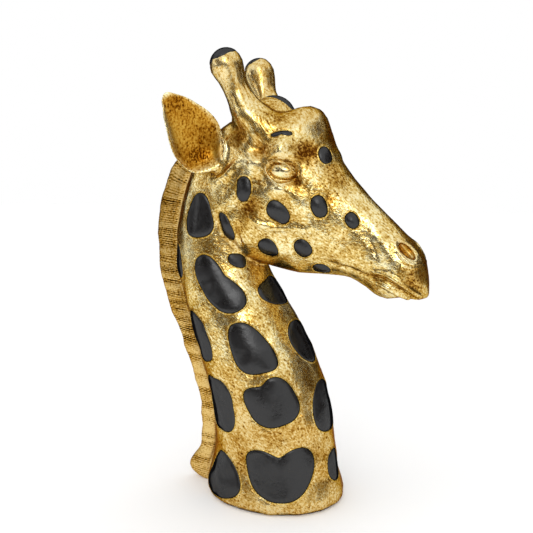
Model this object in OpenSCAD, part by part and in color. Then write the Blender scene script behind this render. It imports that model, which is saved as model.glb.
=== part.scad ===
// Giraffe head-and-neck bust: a hollow gilded casting with black inlaid spots that stands on its neck.
// X points where the giraffe looks, Y to its left and Z up. The origin is the middle of the base.

/* [Neck] */
// Height of the top of the neck above the table
neck_h = 392; // [370:1:415]
// Length of the neck's foot from back to front
base_len = 157; // [148:1:168]
// Width of the neck's foot
base_wid = 132; // [125:1:140]
// Wall of the hollow neck and head
wall = 6; // [5:0.5:8]

/* [Base] */
// Thickness of the plate that closes the foot
plate_t = 4; // [3:0.5:6]
// Thickness of the felt under the plate
felt_t = 1.5; // [1:0.5:3]
// How far the felt stays in from the edge of the plate
felt_inset = 1.5; // [1:0.5:4]

/* [Head] */
// Length of the head along its own axis, from the poll to the lips
head_len = 282; // [268:1:294]
// Greatest width of the head, across the cheeks
head_wid = 97; // [92:1:102]
// Depth of the head from the forehead bump to the jaw
head_deep = 174; // [167:1:181]
// How far the nose points down
head_tilt = 28; // [25:0.5:31]

/* [Ears] */
// Length of an ear leaf
ear_len = 88; // [80:1:96]
// Greatest width of an ear leaf
ear_wid = 56; // [50:1:62]
// Thickness of an ear leaf at its middle
ear_t = 5; // [4:0.5:6]

/* [Ossicones] */
// Length of an ossicone above its pedestal, cap included
ossicone_len = 67; // [60:1:75]
// Width of the knob at its end
knob_d = 34; // [31:0.5:37]
// Width of the shaft at its thinnest
shaft_d = 26; // [23:0.5:29]
// Height of the black cap
cap_h = 11; // [9:0.5:13]
// Diameter of the pegs of the ossicones and their caps
peg_d = 10; // [7:0.5:12]
// Length of those pegs
peg_len = 12; // [8:1:14]

/* [Mane] */
// Thickness of the mane where it leaves the neck
mane_t = 17; // [14:0.5:20]
// Thickness of the mane at its free edge
mane_edge_t = 10; // [8:0.5:12]
// Width of the tongue that seats in the neck
tongue_wid = 9; // [7:0.5:11]
// Depth of the groove for the tongue
tongue_deep = 2.5; // [1.5:0.5:3.5]
// Spacing of the carved ribs
rib_pitch = 9; // [7:0.5:12]
// Depth of the carved ribs
rib_deep = 1.2; // [0.6:0.1:1.6]

/* [Spots] */
// Thickness of a black inlay from its edge to the floor of its pocket
spot_t = 2.5; // [2:0.5:3.5]
// How far the edge of an inlay lies below the gilding
spot_sink = 0.6; // [0.3:0.1:1]
// How far the middle of an inlay rises above its edge
spot_dome = 1.2; // [0.6:0.1:2]
// Glue gap round the inlays, pegs and plate
fit = 0.25; // [0.15:0.05:0.4]

/* [Hidden] */
// Neck profile: height, back edge, front edge, half width. The sizes above scale it.
neck_rows = [
    [0, -77.5, 76, 64], [8, -79, 78, 66], [20, -78, 75, 64.5], [32, -74, 72, 61.5],
    [50, -70, 69.5, 58.5], [75, -70.5, 66, 57], [100, -73, 62.5, 57], [126, -79, 56, 56.5],
    [155, -88.5, 45, 56], [185, -98, 30, 53.5], [214, -107, 12, 50], [243, -115.5, -6.5, 46],
    [270, -118.5, -17, 43.5], [300, -117, -22, 41.5], [330, -110, -24, 39], [355, -100, -26, 36],
    [375, -88, -30, 30], [386, -78, -36, 21], [392, -66, -48, 7]];
neck_foot = 1;
neck_kx = base_len / (neck_rows[neck_foot][2] - neck_rows[neck_foot][1]);
neck_ky = base_wid / (2 * neck_rows[neck_foot][3]);
neck_kz = neck_h / neck_rows[len(neck_rows) - 1][0];

// Head profile along its axis: distance, underside, widest line, top, half width, top and lower squareness
head_rows = [
    [-35, 8, 12, 20, 6, 2, 2], [-30, -4, 12, 32, 19, 2.3, 2.1], [-18, -22, 12, 41, 34, 3, 2.5],
    [0, -50, 11, 47, 43, 3.6, 3], [18, -72, 12, 63, 46.5, 3.2, 3.2], [34, -80, 14, 81, 48, 2.7, 3.2],
    [48, -82, 16, 93, 48.5, 2.3, 3], [62, -81, 17, 91.5, 48, 2.1, 2.8], [78, -78, 14, 79, 44.5, 2.1, 2.5],
    [94, -75, 9, 64, 41, 2.2, 2.2], [118, -66, 3, 52, 35.5, 2.2, 2.2], [145, -53, -1, 41.5, 30, 2.3, 2.2],
    [172, -42, -3, 33.5, 26.5, 2.3, 2.2], [195, -41, -4, 27, 26, 2.4, 2.2],
    [213, -38, -5, 20.5, 27, 2.4, 2.2], [226, -31, -7, 13.5, 25, 2.4, 2.2], [236, -27, -11, 4, 19, 2.2, 2.2],
    [242, -25, -14, -4, 13, 2, 2], [247, -20, -16, -12, 5, 2, 2]];
head_bump = 6;
head_ks = head_len / (head_rows[len(head_rows) - 1][0] - head_rows[0][0]);
head_kw = head_wid / (2 * head_rows[head_bump][4]);
head_kh = head_deep / (head_rows[head_bump][3] - head_rows[head_bump][1] - 1);
// The head's axis starts inside the top of the neck, this far behind the origin and below the top
head_back = 45;
head_drop = 27;
head_from = [-head_back * neck_kx, 0, neck_h - head_drop * neck_kz];

// Mane along the neck's back: height where it leaves the neck, how far it stands out, how far it sweeps up
mane_rows = [
    [2, 31, 0], [12, 31.5, 0], [24, 29.5, 0], [38, 25, 0], [55, 25, 0], [75, 24, 0], [105, 24, 0],
    [120, 26, 0], [140, 27, 0], [160, 27, 0], [180, 29.5, 0], [200, 31.5, 0], [222, 32.5, 0],
    [250, 32, 0], [275, 31.5, 0], [300, 32, 0], [320, 33, 1], [335, 31.5, 5], [348, 28.5, 9.5],
    [360, 23, 14], [370, 16, 17.5], [379, 10, 18], [386, 5, 16]];

// Neck spots: name, height, turn from the front, half width, half height, lean, notch, side of the notch.
// A negative notch draws the outline out to a point.
neck_spots = [
    ["front_1", 43, 0, 15, 17, 0, 0, 0], ["front_2", 108, 0, 25, 27, 0, 0, 0],
    ["front_3", 178, 0, 22, 20, 0, -0.2, 270], ["front_4", 230, 0, 28, 13, 0, -0.3, 90],
    ["side_1", 46, 64, 37, 29, 4, 0.48, 98], ["side_2", 120, 64, 33, 25, 20, 0.38, 104],
    ["side_3", 173, 69, 23, 27, 0, 0.2, 288], ["side_4", 240, 79, 21, 30, 32, 0.25, 25],
    ["throat", 264, 46, 10, 8, -20, 0.2, 100],
    ["back_1", 31, 125, 26, 24, 0, 0, 0], ["back_2", 108, 124, 23, 31, -8, 0, 0],
    ["back_3", 179, 131, 20, 27, 12, 0, 0], ["back_4", 259, 144, 13, 17, 0, 0, 0],
    ["back_5", 310, 94, 18, 22.5, 8, -0.2, 100]];
// Head spots: name, distance along the head, turn up from the side, half length, half height, lean, notch,
// side of the notch
head_spots = [
    ["ear", 38, -25, 10, 12, 0, 0.1, 200], ["cheek", 82, -29, 13, 10, 0, 0, 0],
    ["muzzle_1", 115.5, 15, 10, 9, -35, 0, 0], ["muzzle_2", 150, 33, 8, 7, -15, 0, 0],
    ["brow", 91, 66, 8.5, 7, -25, 0, 0], ["eyebrow", 48, 45.5, 11, 3.8, 31, 0.75, 301],
    ["jaw_1", 36, -59, 7.5, 17, 43, 0, 0], ["jaw_2", 86, -63, 10, 12, 40, 0.1, 290],
    ["jaw_3", 119, -49, 10, 9, -35, 0, 0], ["chin", 143, -67, 9, 5.5, -10, 0, 0]];
spot_square = 2.3;
spot_sharp = 4;

sides = [["right", -1], ["left", 1]];
// One inlay per entry: node name, side, and the row that shapes it
neck_inlays = [for (s = neck_spots) for (side = s[2] == 0 ? [["", 1]] : sides)
    [str("neck_spot_", s[0], side[0] == "" ? "" : "_", side[0]), side[1], s]];
head_inlays = [for (s = head_spots) for (side = sides)
    [str("head_spot_", s[0], "_", side[0]), side[1], s]];

gold = [0.83, 0.66, 0.27];
dark_gold = [0.62, 0.44, 0.16];
black = [0.13, 0.13, 0.14];
neck_sides = 28;
head_sides = 24;
hollow_sides = 14;
turn_step = 0.5;
neck_ring_step = 21;
head_ring_step = 14;
over = 1;
speck = 0.01;

// The row of table t that x falls after
function row_of(t, x, i = 0) = i >= len(t) - 2 || x < t[i + 1][0] ? i : row_of(t, x, i + 1);

// Slope of column c of table t at row i
function slope(t, i, c) =
    let (a = max(i - 1, 0), b = min(i + 1, len(t) - 1)) (t[b][c] - t[a][c]) / (t[b][0] - t[a][0]);

// Column c of table t at x, on a smooth curve through the rows
function curve(t, x, c) =
    let (i = row_of(t, x), gap = t[i + 1][0] - t[i][0], u = min(1, max(0, (x - t[i][0]) / gap)),
         u2 = u * u, u3 = u2 * u)
    (2 * u3 - 3 * u2 + 1) * t[i][c] + (u3 - 2 * u2 + u) * gap * slope(t, i, c)
    + (3 * u2 - 2 * u3) * t[i + 1][c] + (u3 - u2) * gap * slope(t, i + 1, c);

function signpow(v, p) = sign(v) * pow(abs(v), p);
function steps(from, to, step) =
    let (n = ceil((to - from) / step)) [for (i = [0:n]) from + (to - from) * i / n];

// A point of the neck's surface at height z, turned a degrees from the front, off outside it
function neck_at(z, a, off = 0) =
    let (t = z / neck_kz, back = curve(neck_rows, t, 1) * neck_kx, front = curve(neck_rows, t, 2) * neck_kx,
         half = curve(neck_rows, t, 3) * neck_ky)
    [(front + back) / 2 + ((front - back) / 2 + off) * cos(a), (half + off) * sin(a), z];
function neck_middle(z) = (neck_at(z, 0) + neck_at(z, 180)) / 2;

// From the head's own axes (along, left, up) to the bust's
function head_place(s, y, h) =
    head_from + [s * cos(head_tilt) + h * sin(head_tilt), y, h * cos(head_tilt) - s * sin(head_tilt)];

// A place on the head given along, aside and up, at one side of it
function head_spot_place(at, side) = head_place(at[0] * head_ks, side * at[1] * head_kw, at[2] * head_kh);

// The head's section at s: underside, widest line, top, half width, top and lower squareness
function head_row(s) =
    let (t = s / head_ks)
    [for (c = [1:6]) curve(head_rows, t, c) * (c < 4 ? head_kh : c == 4 ? head_kw : 1)];
function head_at(s, a, off = 0) =
    let (row = head_row(s), up = sin(a) >= 0, n = up ? row[4] : row[5],
         deep = (up ? row[2] - row[1] : row[1] - row[0]) + off)
    head_place(s, (row[3] + off) * signpow(cos(a), 2 / n), row[1] + deep * signpow(sin(a), 2 / n));
// The point of the head's surface at s, turned a degrees up from its widest line, off outside it
function head_turned(s, a, side, off = 0) =
    let (row = head_row(s), up = sin(a) >= 0, n = up ? row[4] : row[5],
         deep = up ? row[2] - row[1] : row[1] - row[0],
         r = off + pow(pow(abs(cos(a)) / row[3], n) + pow(abs(sin(a)) / deep, n), -1 / n))
    head_place(s, side * r * cos(a), row[1] + r * sin(a));
// Millimetres along the head's girth per degree, at a place
function head_girth(s, a) =
    norm(head_turned(s, a + turn_step, 1) - head_turned(s, a - turn_step, 1)) / (2 * turn_step);
// The point of the head's side that lies at p, along and up, off outside it
function head_side(p, side, off = 0) =
    let (s = p[0] * head_ks, h = p[1] * head_kh, row = head_row(s), up = h >= row[1],
         n = up ? row[4] : row[5], deep = up ? row[2] - row[1] : row[1] - row[0],
         reach = min(1, abs(h - row[1]) / deep))
    head_turned(s, atan2(h - row[1], row[3] * pow(1 - pow(reach, n), 1 / n)), side, off);

// A closed skin from one point over equal rings to another
module skin(from, rings, to) {
    n = len(rings[0]);
    last = len(rings) * n + 1;
    polyhedron(
        points = concat([from], [for (r = rings) for (p = r) p], [to]),
        faces = concat(
            [for (j = [0:n - 1]) [0, 1 + (j + 1) % n, 1 + j]],
            [for (i = [0:len(rings) - 2]) for (j = [0:n - 1])
                let (a = 1 + i * n, b = a + n, k = (j + 1) % n)
                for (face = [[a + j, a + k, b + k], [a + j, b + k, b + j]]) face],
            [for (j = [0:n - 1]) [last, last - n + j, last - n + (j + 1) % n]]));
}

function neck_ring(z, off = 0, n = neck_sides) = [for (j = [0:n - 1]) neck_at(z, -360 * j / n, off)];
function head_ring(s, off = 0, n = head_sides) = [for (j = [0:n - 1]) head_at(s, -360 * j / n, off)];
// Heights of the neck's rings: even steps between two heights, then the crown
even_rings = [8, 370];
crown_rings = [379, 386, 390];
neck_stations = concat([felt_t], [for (z = steps(even_rings[0], even_rings[1], neck_ring_step)) z * neck_kz],
    [for (z = crown_rings) z * neck_kz]);

// The middle of the neck's back at height z, straight from one ring to the next
function neck_back(z, i = 0) =
    i < len(neck_stations) - 2 && z > neck_stations[i + 1] ? neck_back(z, i + 1)
    : let (a = neck_stations[i], b = neck_stations[i + 1], u = (z - a) / (b - a))
      neck_at(a, 180) * (1 - u) + neck_at(b, 180) * u;

// The solid form of the neck
module neck_form() {
    rings = [for (z = neck_stations) neck_ring(z)];
    skin(neck_middle(felt_t), rings, neck_middle(neck_h));
}

// The hollow of the neck, open at the foot
module neck_hollow() {
    foot = felt_t - over;
    top = neck_h - 2 * wall;
    rings = [for (z = steps(foot, top - wall, 2 * neck_ring_step)) neck_ring(z, -wall, hollow_sides)];
    skin(neck_middle(foot), rings, neck_middle(top));
}

// The outline of the closing plate, grown by off
module plate_outline(off = 0) {
    polygon([for (p = neck_ring(felt_t + plate_t, -wall / 2 + off)) [p[0], p[1]]]);
}

// A spot's radius at angle t, from its row
function spot_radius(row, t) =
    (1 - row[6] * pow(max(0, cos(t - row[7])), spot_sharp))
    / pow(pow(abs(cos(t - row[5])) / row[3], spot_square) + pow(abs(sin(t - row[5])) / row[4], spot_square),
          1 / spot_square);

// Millimetres along the neck's girth per degree, at a height and a turn
function neck_girth(z, a) = norm(neck_at(z, a + turn_step) - neck_at(z, a - turn_step)) / (2 * turn_step);

// A point of a spot: its share of the way out, the angle round it, off outside the surface, grown by more
function neck_spot_at(side, row, out, t, off, more) =
    let (r = out * (spot_radius(row, t) * neck_kz + more), z = row[1] * neck_kz)
    neck_at(z + r * sin(t), side * (row[2] - r * cos(t) / neck_girth(z, row[2])), off);
function head_spot_at(side, row, out, t, off, more) =
    let (r = out * (spot_radius(row, t) * head_ks + more), s = row[1] * head_ks)
    head_turned(s + r * cos(t), row[2] + r * sin(t) / head_girth(s, row[2]), side, off);

// The levels of an inlay or its pocket from top to floor: share of the way out and height off the surface
function spot_levels(top, edge, wide) = concat(
    [[0.6, edge + 0.7 * (top - edge)], [1, edge], [1, -spot_t - spot_sink]],
    wide ? [[0.55, -spot_t - spot_sink]] : []);
function spot_size(row) = max(row[3], row[4]);
function spot_ring_n(row) = spot_size(row) > 31 ? 16 : spot_size(row) > 17 ? 12 : 8;

module neck_spot(spot, top, edge, more = 0) {
    levels = spot_levels(top, edge, spot_size(spot[2]) > 26);
    rings = [for (level = levels) [for (j = [0:spot_ring_n(spot[2]) - 1])
        neck_spot_at(spot[1], spot[2], level[0], -spot[1] * 360 * j / spot_ring_n(spot[2]), level[1], more)]];
    skin(neck_spot_at(spot[1], spot[2], 0, 0, top, 0), rings,
         neck_spot_at(spot[1], spot[2], 0, 0, -spot_t - spot_sink, 0));
}
module head_spot(spot, top, edge, more = 0) {
    levels = spot_levels(top, edge, false);
    rings = [for (level = levels) [for (j = [0:spot_ring_n(spot[2]) - 1])
        head_spot_at(spot[1], spot[2], level[0], -spot[1] * 360 * j / spot_ring_n(spot[2]), level[1], more)]];
    skin(head_spot_at(spot[1], spot[2], 0, 0, top, 0), rings,
         head_spot_at(spot[1], spot[2], 0, 0, -spot_t - spot_sink, 0));
}
module neck_inlay(spot) color(black) neck_spot(spot, spot_dome - spot_sink, -spot_sink);
module head_inlay(spot) color(black) head_spot(spot, spot_dome - spot_sink, -spot_sink);

// Where the mane leaves the neck at height z, and its free edge there
function mane_edge(z) =
    let (t = z / neck_kz)
    neck_back(z) + [-curve(mane_rows, t, 1) * neck_kx, 0, curve(mane_rows, t, 2) * neck_kz];
function mane_reach(z) = norm(mane_edge(z) - neck_back(z));
function mane_out(z) = (mane_edge(z) - neck_back(z)) / mane_reach(z);

// A section of the mane at height z, ribbed by rib: pairs of reach and half thickness
function mane_ring(z, rib) =
    let (root = neck_back(z), reach = mane_reach(z), out = mane_out(z),
         half = [[-tongue_deep, tongue_wid / 2], [0.12 * reach, tongue_wid / 2],
                 [0.22 * reach, mane_t / 2 + rib], [0.9 * reach, mane_edge_t / 2 + rib],
                 [reach + rib, mane_edge_t / 6]])
    concat([for (p = half) root + out * p[0] - [0, p[1], 0]],
           [for (i = [len(half) - 1:-1:0]) root + out * half[i][0] + [0, half[i][1], 0]]);

module mane() color(dark_gold) {
    stations = steps(2 * felt_t, mane_rows[len(mane_rows) - 1][0] * neck_kz, rib_pitch / 2);
    rings = [for (i = [0:len(stations) - 1]) mane_ring(stations[i], (i % 2) * rib_deep - rib_deep)];
    ends = [for (z = [stations[0], stations[len(stations) - 1]]) (neck_back(z) + mane_edge(z)) / 2];
    skin(ends[0], rings, ends[1]);
}

// The groove that takes the mane's tongue
module mane_groove() {
    deep = tongue_deep + fit / 2;
    half = tongue_wid / 2 + fit;
    for (i = [0:len(neck_stations) - 2]) hull()
        for (z = [neck_stations[i], neck_stations[i + 1]], out = [-deep, over], y = [-half, half])
            translate(neck_back(z) + mane_out(z) * out + [0, y, z == felt_t ? -over : 0])
                cube(speck, center = true);
}

module neck_casting() color(gold) difference() {
    neck_form();
    neck_hollow();
    translate([0, 0, felt_t - over]) linear_extrude(plate_t + over) plate_outline(fit);
    mane_groove();
    for (spot = neck_inlays) neck_spot(spot, 4 * over, 3 * over, fit);
}

module base_plate() color(dark_gold)
    translate([0, 0, felt_t]) linear_extrude(plate_t) plate_outline();
module felt_pad() color([0.2, 0.2, 0.2]) linear_extrude(felt_t) plate_outline(-felt_inset);

// The frame of an ossicone: its foot on the head, leaning back and out
ossicone_foot = [0, 31, 57];
ossicone_lean = 21.5;
ossicone_splay = 8.6;
module ossicone_frame(side) translate(head_spot_place(ossicone_foot, side))
    rotate([-side * ossicone_splay, -ossicone_lean, 0]) children();

// Outline of an ossicone from its foot to the underside of its cap, and the cap's
knob_r = knob_d / 2;
shaft_r = shaft_d / 2;
foot_z = 6;
tip_z = foot_z + ossicone_len;
cap_z = tip_z - cap_h;
function knob_radius(z) = sqrt(max(0, pow(knob_r, 2) - pow(z - (tip_z - knob_r), 2)));
function ossicone_rows() = [
    [foot_z, shaft_r * 1.45], [foot_z + 0.1 * ossicone_len, shaft_r * 1.2],
    [foot_z + 0.22 * ossicone_len, shaft_r * 1.05], [foot_z + 0.36 * ossicone_len, shaft_r],
    [foot_z + 0.5 * ossicone_len, shaft_r * 1.1], [foot_z + 0.62 * ossicone_len, shaft_r * 1.22],
    [tip_z - knob_r, knob_r]];
round_fn = 36;

module ossicone(side) color(gold) ossicone_frame(side) difference() {
    rotate_extrude($fn = round_fn) polygon(concat(
        [[0, foot_z - peg_len], [peg_d / 2, foot_z - peg_len], [peg_d / 2, foot_z]],
        [for (r = steps(foot_z, tip_z - knob_r, ossicone_len / 16)) [curve(ossicone_rows(), r, 1), r]],
        [for (a = [15:15:45]) let (z = tip_z - knob_r + knob_r * sin(a)) if (z < cap_z) [knob_radius(z), z]],
        [[knob_radius(cap_z), cap_z], [0, cap_z]]));
    translate([0, 0, cap_z - peg_len]) cylinder(d = peg_d + 2 * fit, h = peg_len + over, $fn = round_fn);
}
module ossicone_cap(side) color(black) ossicone_frame(side)
    rotate_extrude($fn = round_fn) polygon(concat(
        [[0, cap_z - peg_len + over], [peg_d / 2, cap_z - peg_len + over], [peg_d / 2, cap_z]],
        [for (i = [0:6]) let (z = cap_z + (tip_z - cap_z) * sin(15 * i)) [knob_radius(z), z]]));

// Flared pedestal of the head that an ossicone stands on: height, shift forward, shift inward and radius
// as a share of the shaft's
pedestal_rows = [
    [foot_z, 0, 0, 1.45], [0, 1, 1, 1.56], [-8, 4, 3, 1.74], [-18, 8, 5, 1.83], [-32, 10, 7, 1.65]];
pedestal_sides = 18;
module pedestal(side) ossicone_frame(side) {
    rings = [for (row = pedestal_rows) [for (j = [0:pedestal_sides - 1])
        let (a = 360 * j / pedestal_sides, r = row[3] * shaft_r)
        [row[1] + r * cos(a), -side * row[2] + r * sin(a), row[0]]]];
    last = pedestal_rows[len(pedestal_rows) - 1];
    skin([0, 0, foot_z], rings, [last[1], -side * last[2], last[0] - over]);
}

// Ear leaf: distance along it, middle line, half width, bulge of its back, thickness, set back.
// The first rows are the stem in the head.
ear_rows = [
    [-6, 15, 7, 6, 12, 9], [-3, 14, 9, 7, 13, 6], [0, 9, 13, 8, 11, 2], [5, 6, 18, 10, 6, 0],
    [14, 6, 23.5, 13, 5, 0], [26, 6, 27, 14, 5, 0], [40, 7, 27.5, 13, 5, 0], [54, 6.5, 24, 11, 5, 0],
    [66, 4, 19, 8, 4.5, 0], [76, 2, 13.5, 5.5, 4, 0], [83, -1, 8.5, 3.5, 3.5, 0], [88, -2, 3, 2, 3, 0]];
ear_foot = [-6.5, 56, -12.5];
ear_sweep = 24;
ear_turn = 33;
ear_half_n = 7;
ear_rim = 1;
ear_broad = 6;
ear_kl = ear_len / ear_rows[len(ear_rows) - 1][0];
ear_kw = ear_wid / (2 * ear_rows[ear_broad][2]);
ear_kt = ear_t / ear_rows[ear_broad][4];
// A section of the leaf, grown by more: round its back, then through the bowl
function ear_ring(row, more = 0) =
    let (back = row[3] + more, bowl = row[3] - row[4] * ear_kt + 2 * ear_rim - more)
    [for (face = [[1, back], [-1, bowl]], j = [0:ear_half_n])
        let (a = 180 * (face[0] > 0 ? ear_half_n - j : j) / ear_half_n)
        [row[1] * ear_kw + (row[2] * ear_kw + more) * cos(a), row[5] + face[0] * ear_rim + face[1] * sin(a),
         row[0] * ear_kl]];
module ear_frame(side) mirror([0, side > 0 ? 0 : 1, 0]) translate(head_spot_place(ear_foot, 1))
    rotate([0, -ear_sweep, -ear_turn]) mirror([0, 1, 0]) children();
module ear_leaf(more = 0, rows = len(ear_rows)) {
    rings = [for (i = [0:rows - 1]) ear_ring(ear_rows[i], more)];
    first = ear_rows[0];
    last = ear_rows[rows - 1];
    skin([first[1], first[5], first[0] - more], rings, [last[1], last[5], last[0] + over]);
}
ear_socket_rows = 5;
module ear(side) color(gold) ear_frame(side) ear_leaf();

// The boss of the crown between the ossicones
crown = [14, 0, 66];
crown_r = 16;
crown_shape = [1.25, 1.5, 1];
crown_lean = 20;
module crown_boss() translate(head_spot_place(crown, 1)) rotate([0, head_tilt - crown_lean, 0])
    scale(crown_shape) sphere(r = crown_r, $fn = 16);

// A bead from a to b, r thick
module bead(a, b, r, n) hull() for (p = [a, b]) translate(p) sphere(r = r, $fn = n);

// Eyeball, and the lids round it, standing on both sides of the head
eye = [66, 39, 27.5];
eye_r = 11;
eye_shape = [1.3, 0.8, 0.85];
eye_lean = 20;
lid_reach = [18, 11];
lid_r = 3;
lid_step = 45;
function lid_at(a, side) =
    let (u = lid_reach[0] * cos(a), v = lid_reach[1] * sin(a), c = cos(eye_lean), s = sin(eye_lean))
    head_side([eye[0] + u * c - v * s, eye[2] + u * s + v * c], side, -lid_r / 2);
module eye_forms(side) {
    translate(head_spot_place(eye, side)) rotate([0, head_tilt - eye_lean, 0]) scale(eye_shape)
        sphere(r = eye_r, $fn = 13);
    for (a = [0:lid_step:360 - lid_step]) bead(lid_at(a, side), lid_at(a + lid_step, side), lid_r, 6);
}

// The upper lip, the line of the mouth under it, and a nostril, on both sides
lip = [[188, -18], [203, -13.5], [214, -12], [226, -13], [236, -15.5], [243, -18]];
lip_r = 2.6;
mouth = [[186, -24.5], [203, -20], [215, -19], [226, -20], [236, -23]];
mouth_r = 1.6;
nostril = [211, 13];
nostril_r = 4;
nostril_shape = [2.5, 1, 1];
nostril_lean = 18;
module lips(side) for (i = [0:len(lip) - 2])
    bead(head_side(lip[i], side, -lip_r / 2), head_side(lip[i + 1], side, -lip_r / 2), lip_r, 6);
module muzzle_cuts(side) {
    for (i = [0:len(mouth) - 2])
        bead(head_side(mouth[i], side, mouth_r / 2), head_side(mouth[i + 1], side, mouth_r / 2), mouth_r, 5);
    translate(head_side(nostril, side)) rotate([0, head_tilt + nostril_lean, 0]) scale(nostril_shape)
        sphere(r = nostril_r, $fn = 12);
}

head_first = head_rows[0];
head_last = head_rows[len(head_rows) - 1];
head_stations = [for (s = steps(head_first[0], head_last[0], head_ring_step)) s * head_ks];
hollow_reach = [head_first[0] + 23, head_last[0] - 25];

// The solid form of the head between two places along it, off outside its surface
module head_form(stations, off, n, ends) {
    rings = [for (s = stations) head_ring(s, off, n)];
    skin(head_place(stations[0] - ends, 0, head_first[2] * head_kh), rings,
         head_place(stations[len(stations) - 1] + ends, 0, head_last[2] * head_kh));
}

module head_casting() color(gold) difference() {
    union() {
        head_form(head_stations, 0, head_sides, over);
        crown_boss();
        for (side = [-1, 1]) {
            pedestal(side);
            eye_forms(side);
            lips(side);
        }
    }
    head_form([for (s = steps(hollow_reach[0], hollow_reach[1], 2 * head_ring_step)) s * head_ks],
              -wall, hollow_sides, wall);
    neck_form();
    for (side = [-1, 1]) {
        muzzle_cuts(side);
        ear_frame(side) ear_leaf(fit, ear_socket_rows);
        ossicone_frame(side) translate([0, 0, foot_z - peg_len])
            cylinder(d = peg_d + 2 * fit, h = peg_len + over, $fn = 24);
    }
    for (spot = head_inlays) head_spot(spot, 4 * over, 3 * over, fit);
}

neck_casting();
head_casting();
mane();
base_plate();
felt_pad();
for (side = sides) {
    ear(side[1]);
    ossicone(side[1]);
    ossicone_cap(side[1]);
}
for (spot = neck_inlays) neck_inlay(spot);
for (spot = head_inlays) head_inlay(spot);
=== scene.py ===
"""Dresses the gilded giraffe bust: one leafed casting, black inlays, a carved mane, caps and a felted foot.

The gilded body is grown as a field of distances on a grid of small cubes, where the neck, head, ears and
ossicones melt into each other as they do in a cast piece. Lengths are millimetres until a mesh is made.
X points where the giraffe looks, Y to its left and Z up, with the origin at the middle of the foot. Both
sides of the bust are alike, so the field holds its left half only and is mirrored when it is skinned.
"""

import logging
import math
from dataclasses import dataclass, field
from enum import Enum
from typing import Any, Sequence

import bpy
import numpy as np
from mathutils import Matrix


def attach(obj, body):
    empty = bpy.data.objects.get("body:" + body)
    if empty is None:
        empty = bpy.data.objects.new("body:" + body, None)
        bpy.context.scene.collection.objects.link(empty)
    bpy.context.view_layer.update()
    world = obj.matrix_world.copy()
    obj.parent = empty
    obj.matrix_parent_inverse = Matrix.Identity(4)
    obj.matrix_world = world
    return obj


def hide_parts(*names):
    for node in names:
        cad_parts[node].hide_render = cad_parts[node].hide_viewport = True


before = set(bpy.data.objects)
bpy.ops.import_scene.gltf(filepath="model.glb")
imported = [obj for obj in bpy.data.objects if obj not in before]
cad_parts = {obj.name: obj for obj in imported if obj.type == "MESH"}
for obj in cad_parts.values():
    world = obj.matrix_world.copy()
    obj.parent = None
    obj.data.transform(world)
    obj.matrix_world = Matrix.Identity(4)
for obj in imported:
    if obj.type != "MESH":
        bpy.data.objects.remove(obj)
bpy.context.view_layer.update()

import openvdb
from mathutils import Vector

LOG = logging.getLogger("giraffe_bust")
MM = 0.001
Array = np.ndarray
Row = tuple[float, ...]
Face = tuple[int, ...]
Slices = tuple[slice, ...]
Socket = bpy.types.NodeSocket


def linear(colour: str) -> tuple[float, float, float, float]:
    """Turns an sRGB hex colour to linear light.

    Args:
        colour: Six hex digits after a hash sign.

    Returns:
        Red, green, blue and full opacity.
    """
    values = [int(colour[i:i + 2], 16) / 255 for i in (1, 3, 5)]
    return tuple(v / 12.92 if v <= 0.04045 else ((v + 0.055) / 1.055) ** 2.4 for v in values) + (1.0,)


def unit(v: Array) -> Array:
    """Vectors along the last axis at length one."""
    return v / np.maximum(np.linalg.norm(v, axis=-1, keepdims=True), 1e-9)


def soft_step(x: Array, low: float, high: float) -> Array:
    """0 below low and 1 above high, smooth between them."""
    t = np.clip((x - low) / (high - low), 0, 1)
    return t * t * (3 - 2 * t)


def soft_min(a: Array, b: Array, blend: float) -> Array:
    """The smaller of two distances, with the corner between them rounded over blend."""
    h = np.maximum(blend - np.abs(a - b), 0) / max(blend, 1e-6)
    return np.minimum(a, b) - h * h * blend / 4


def ellipsoid(p: Sequence[Array], middle: Row, radii: Row) -> Array:
    """Distances from an ellipsoid.

    Args:
        p: The three coordinates of the points, each an array.
        middle: Where the ellipsoid's middle is.
        radii: Its radii along the same three axes.

    Returns:
        The distance of each point, negative inside.
    """
    q = [(a - m) / r for a, m, r in zip(p, middle, radii)]
    far = np.sqrt(sum(a * a for a in q))
    slope = np.sqrt(sum((a / r) ** 2 for a, r in zip(q, radii)))
    return far * (far - 1) / np.maximum(slope, 1e-6)


def rope(p: Sequence[Array], path: Array, radii: Array) -> Array:
    """Distances from a round bead laid along a path, whose radius changes from point to point.

    Args:
        p: The three coordinates of the points, each an array.
        path: The path's points, one a row.
        radii: The bead's radius at each of them.

    Returns:
        The distance of each point, negative inside.
    """
    best = None
    for a, b, ra, rb in zip(path[:-1], path[1:], radii[:-1], radii[1:]):
        along = b - a
        rel = [x - y for x, y in zip(p, a)]
        t = np.clip(sum(x * y for x, y in zip(rel, along)) / max(float(along @ along), 1e-9), 0, 1)
        far = np.sqrt(sum((x - t * y) ** 2 for x, y in zip(rel, along))) - (ra + (rb - ra) * t)
        best = far if best is None else np.minimum(best, far)
    return best


def smooth_path(points: Sequence[Row], count: int) -> Array:
    """A smooth curve through a few points.

    Args:
        points: The points that it passes through.
        count: How many points the curve gets.

    Returns:
        The curve's points, one a row.
    """
    p = np.array(points, float)
    ext = np.vstack([2 * p[0] - p[1], p, 2 * p[-1] - p[-2]])
    t = np.linspace(0, len(p) - 1, count)
    i = np.minimum(t.astype(int), len(p) - 2)
    u = (t - i)[:, None]
    a, b, c, d = ext[i], ext[i + 1], ext[i + 2], ext[i + 3]
    return 0.5 * (2 * b + (c - a) * u + (2 * a - 5 * b + 4 * c - d) * u ** 2
                  + (3 * b - a - 3 * c + d) * u ** 3)


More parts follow.
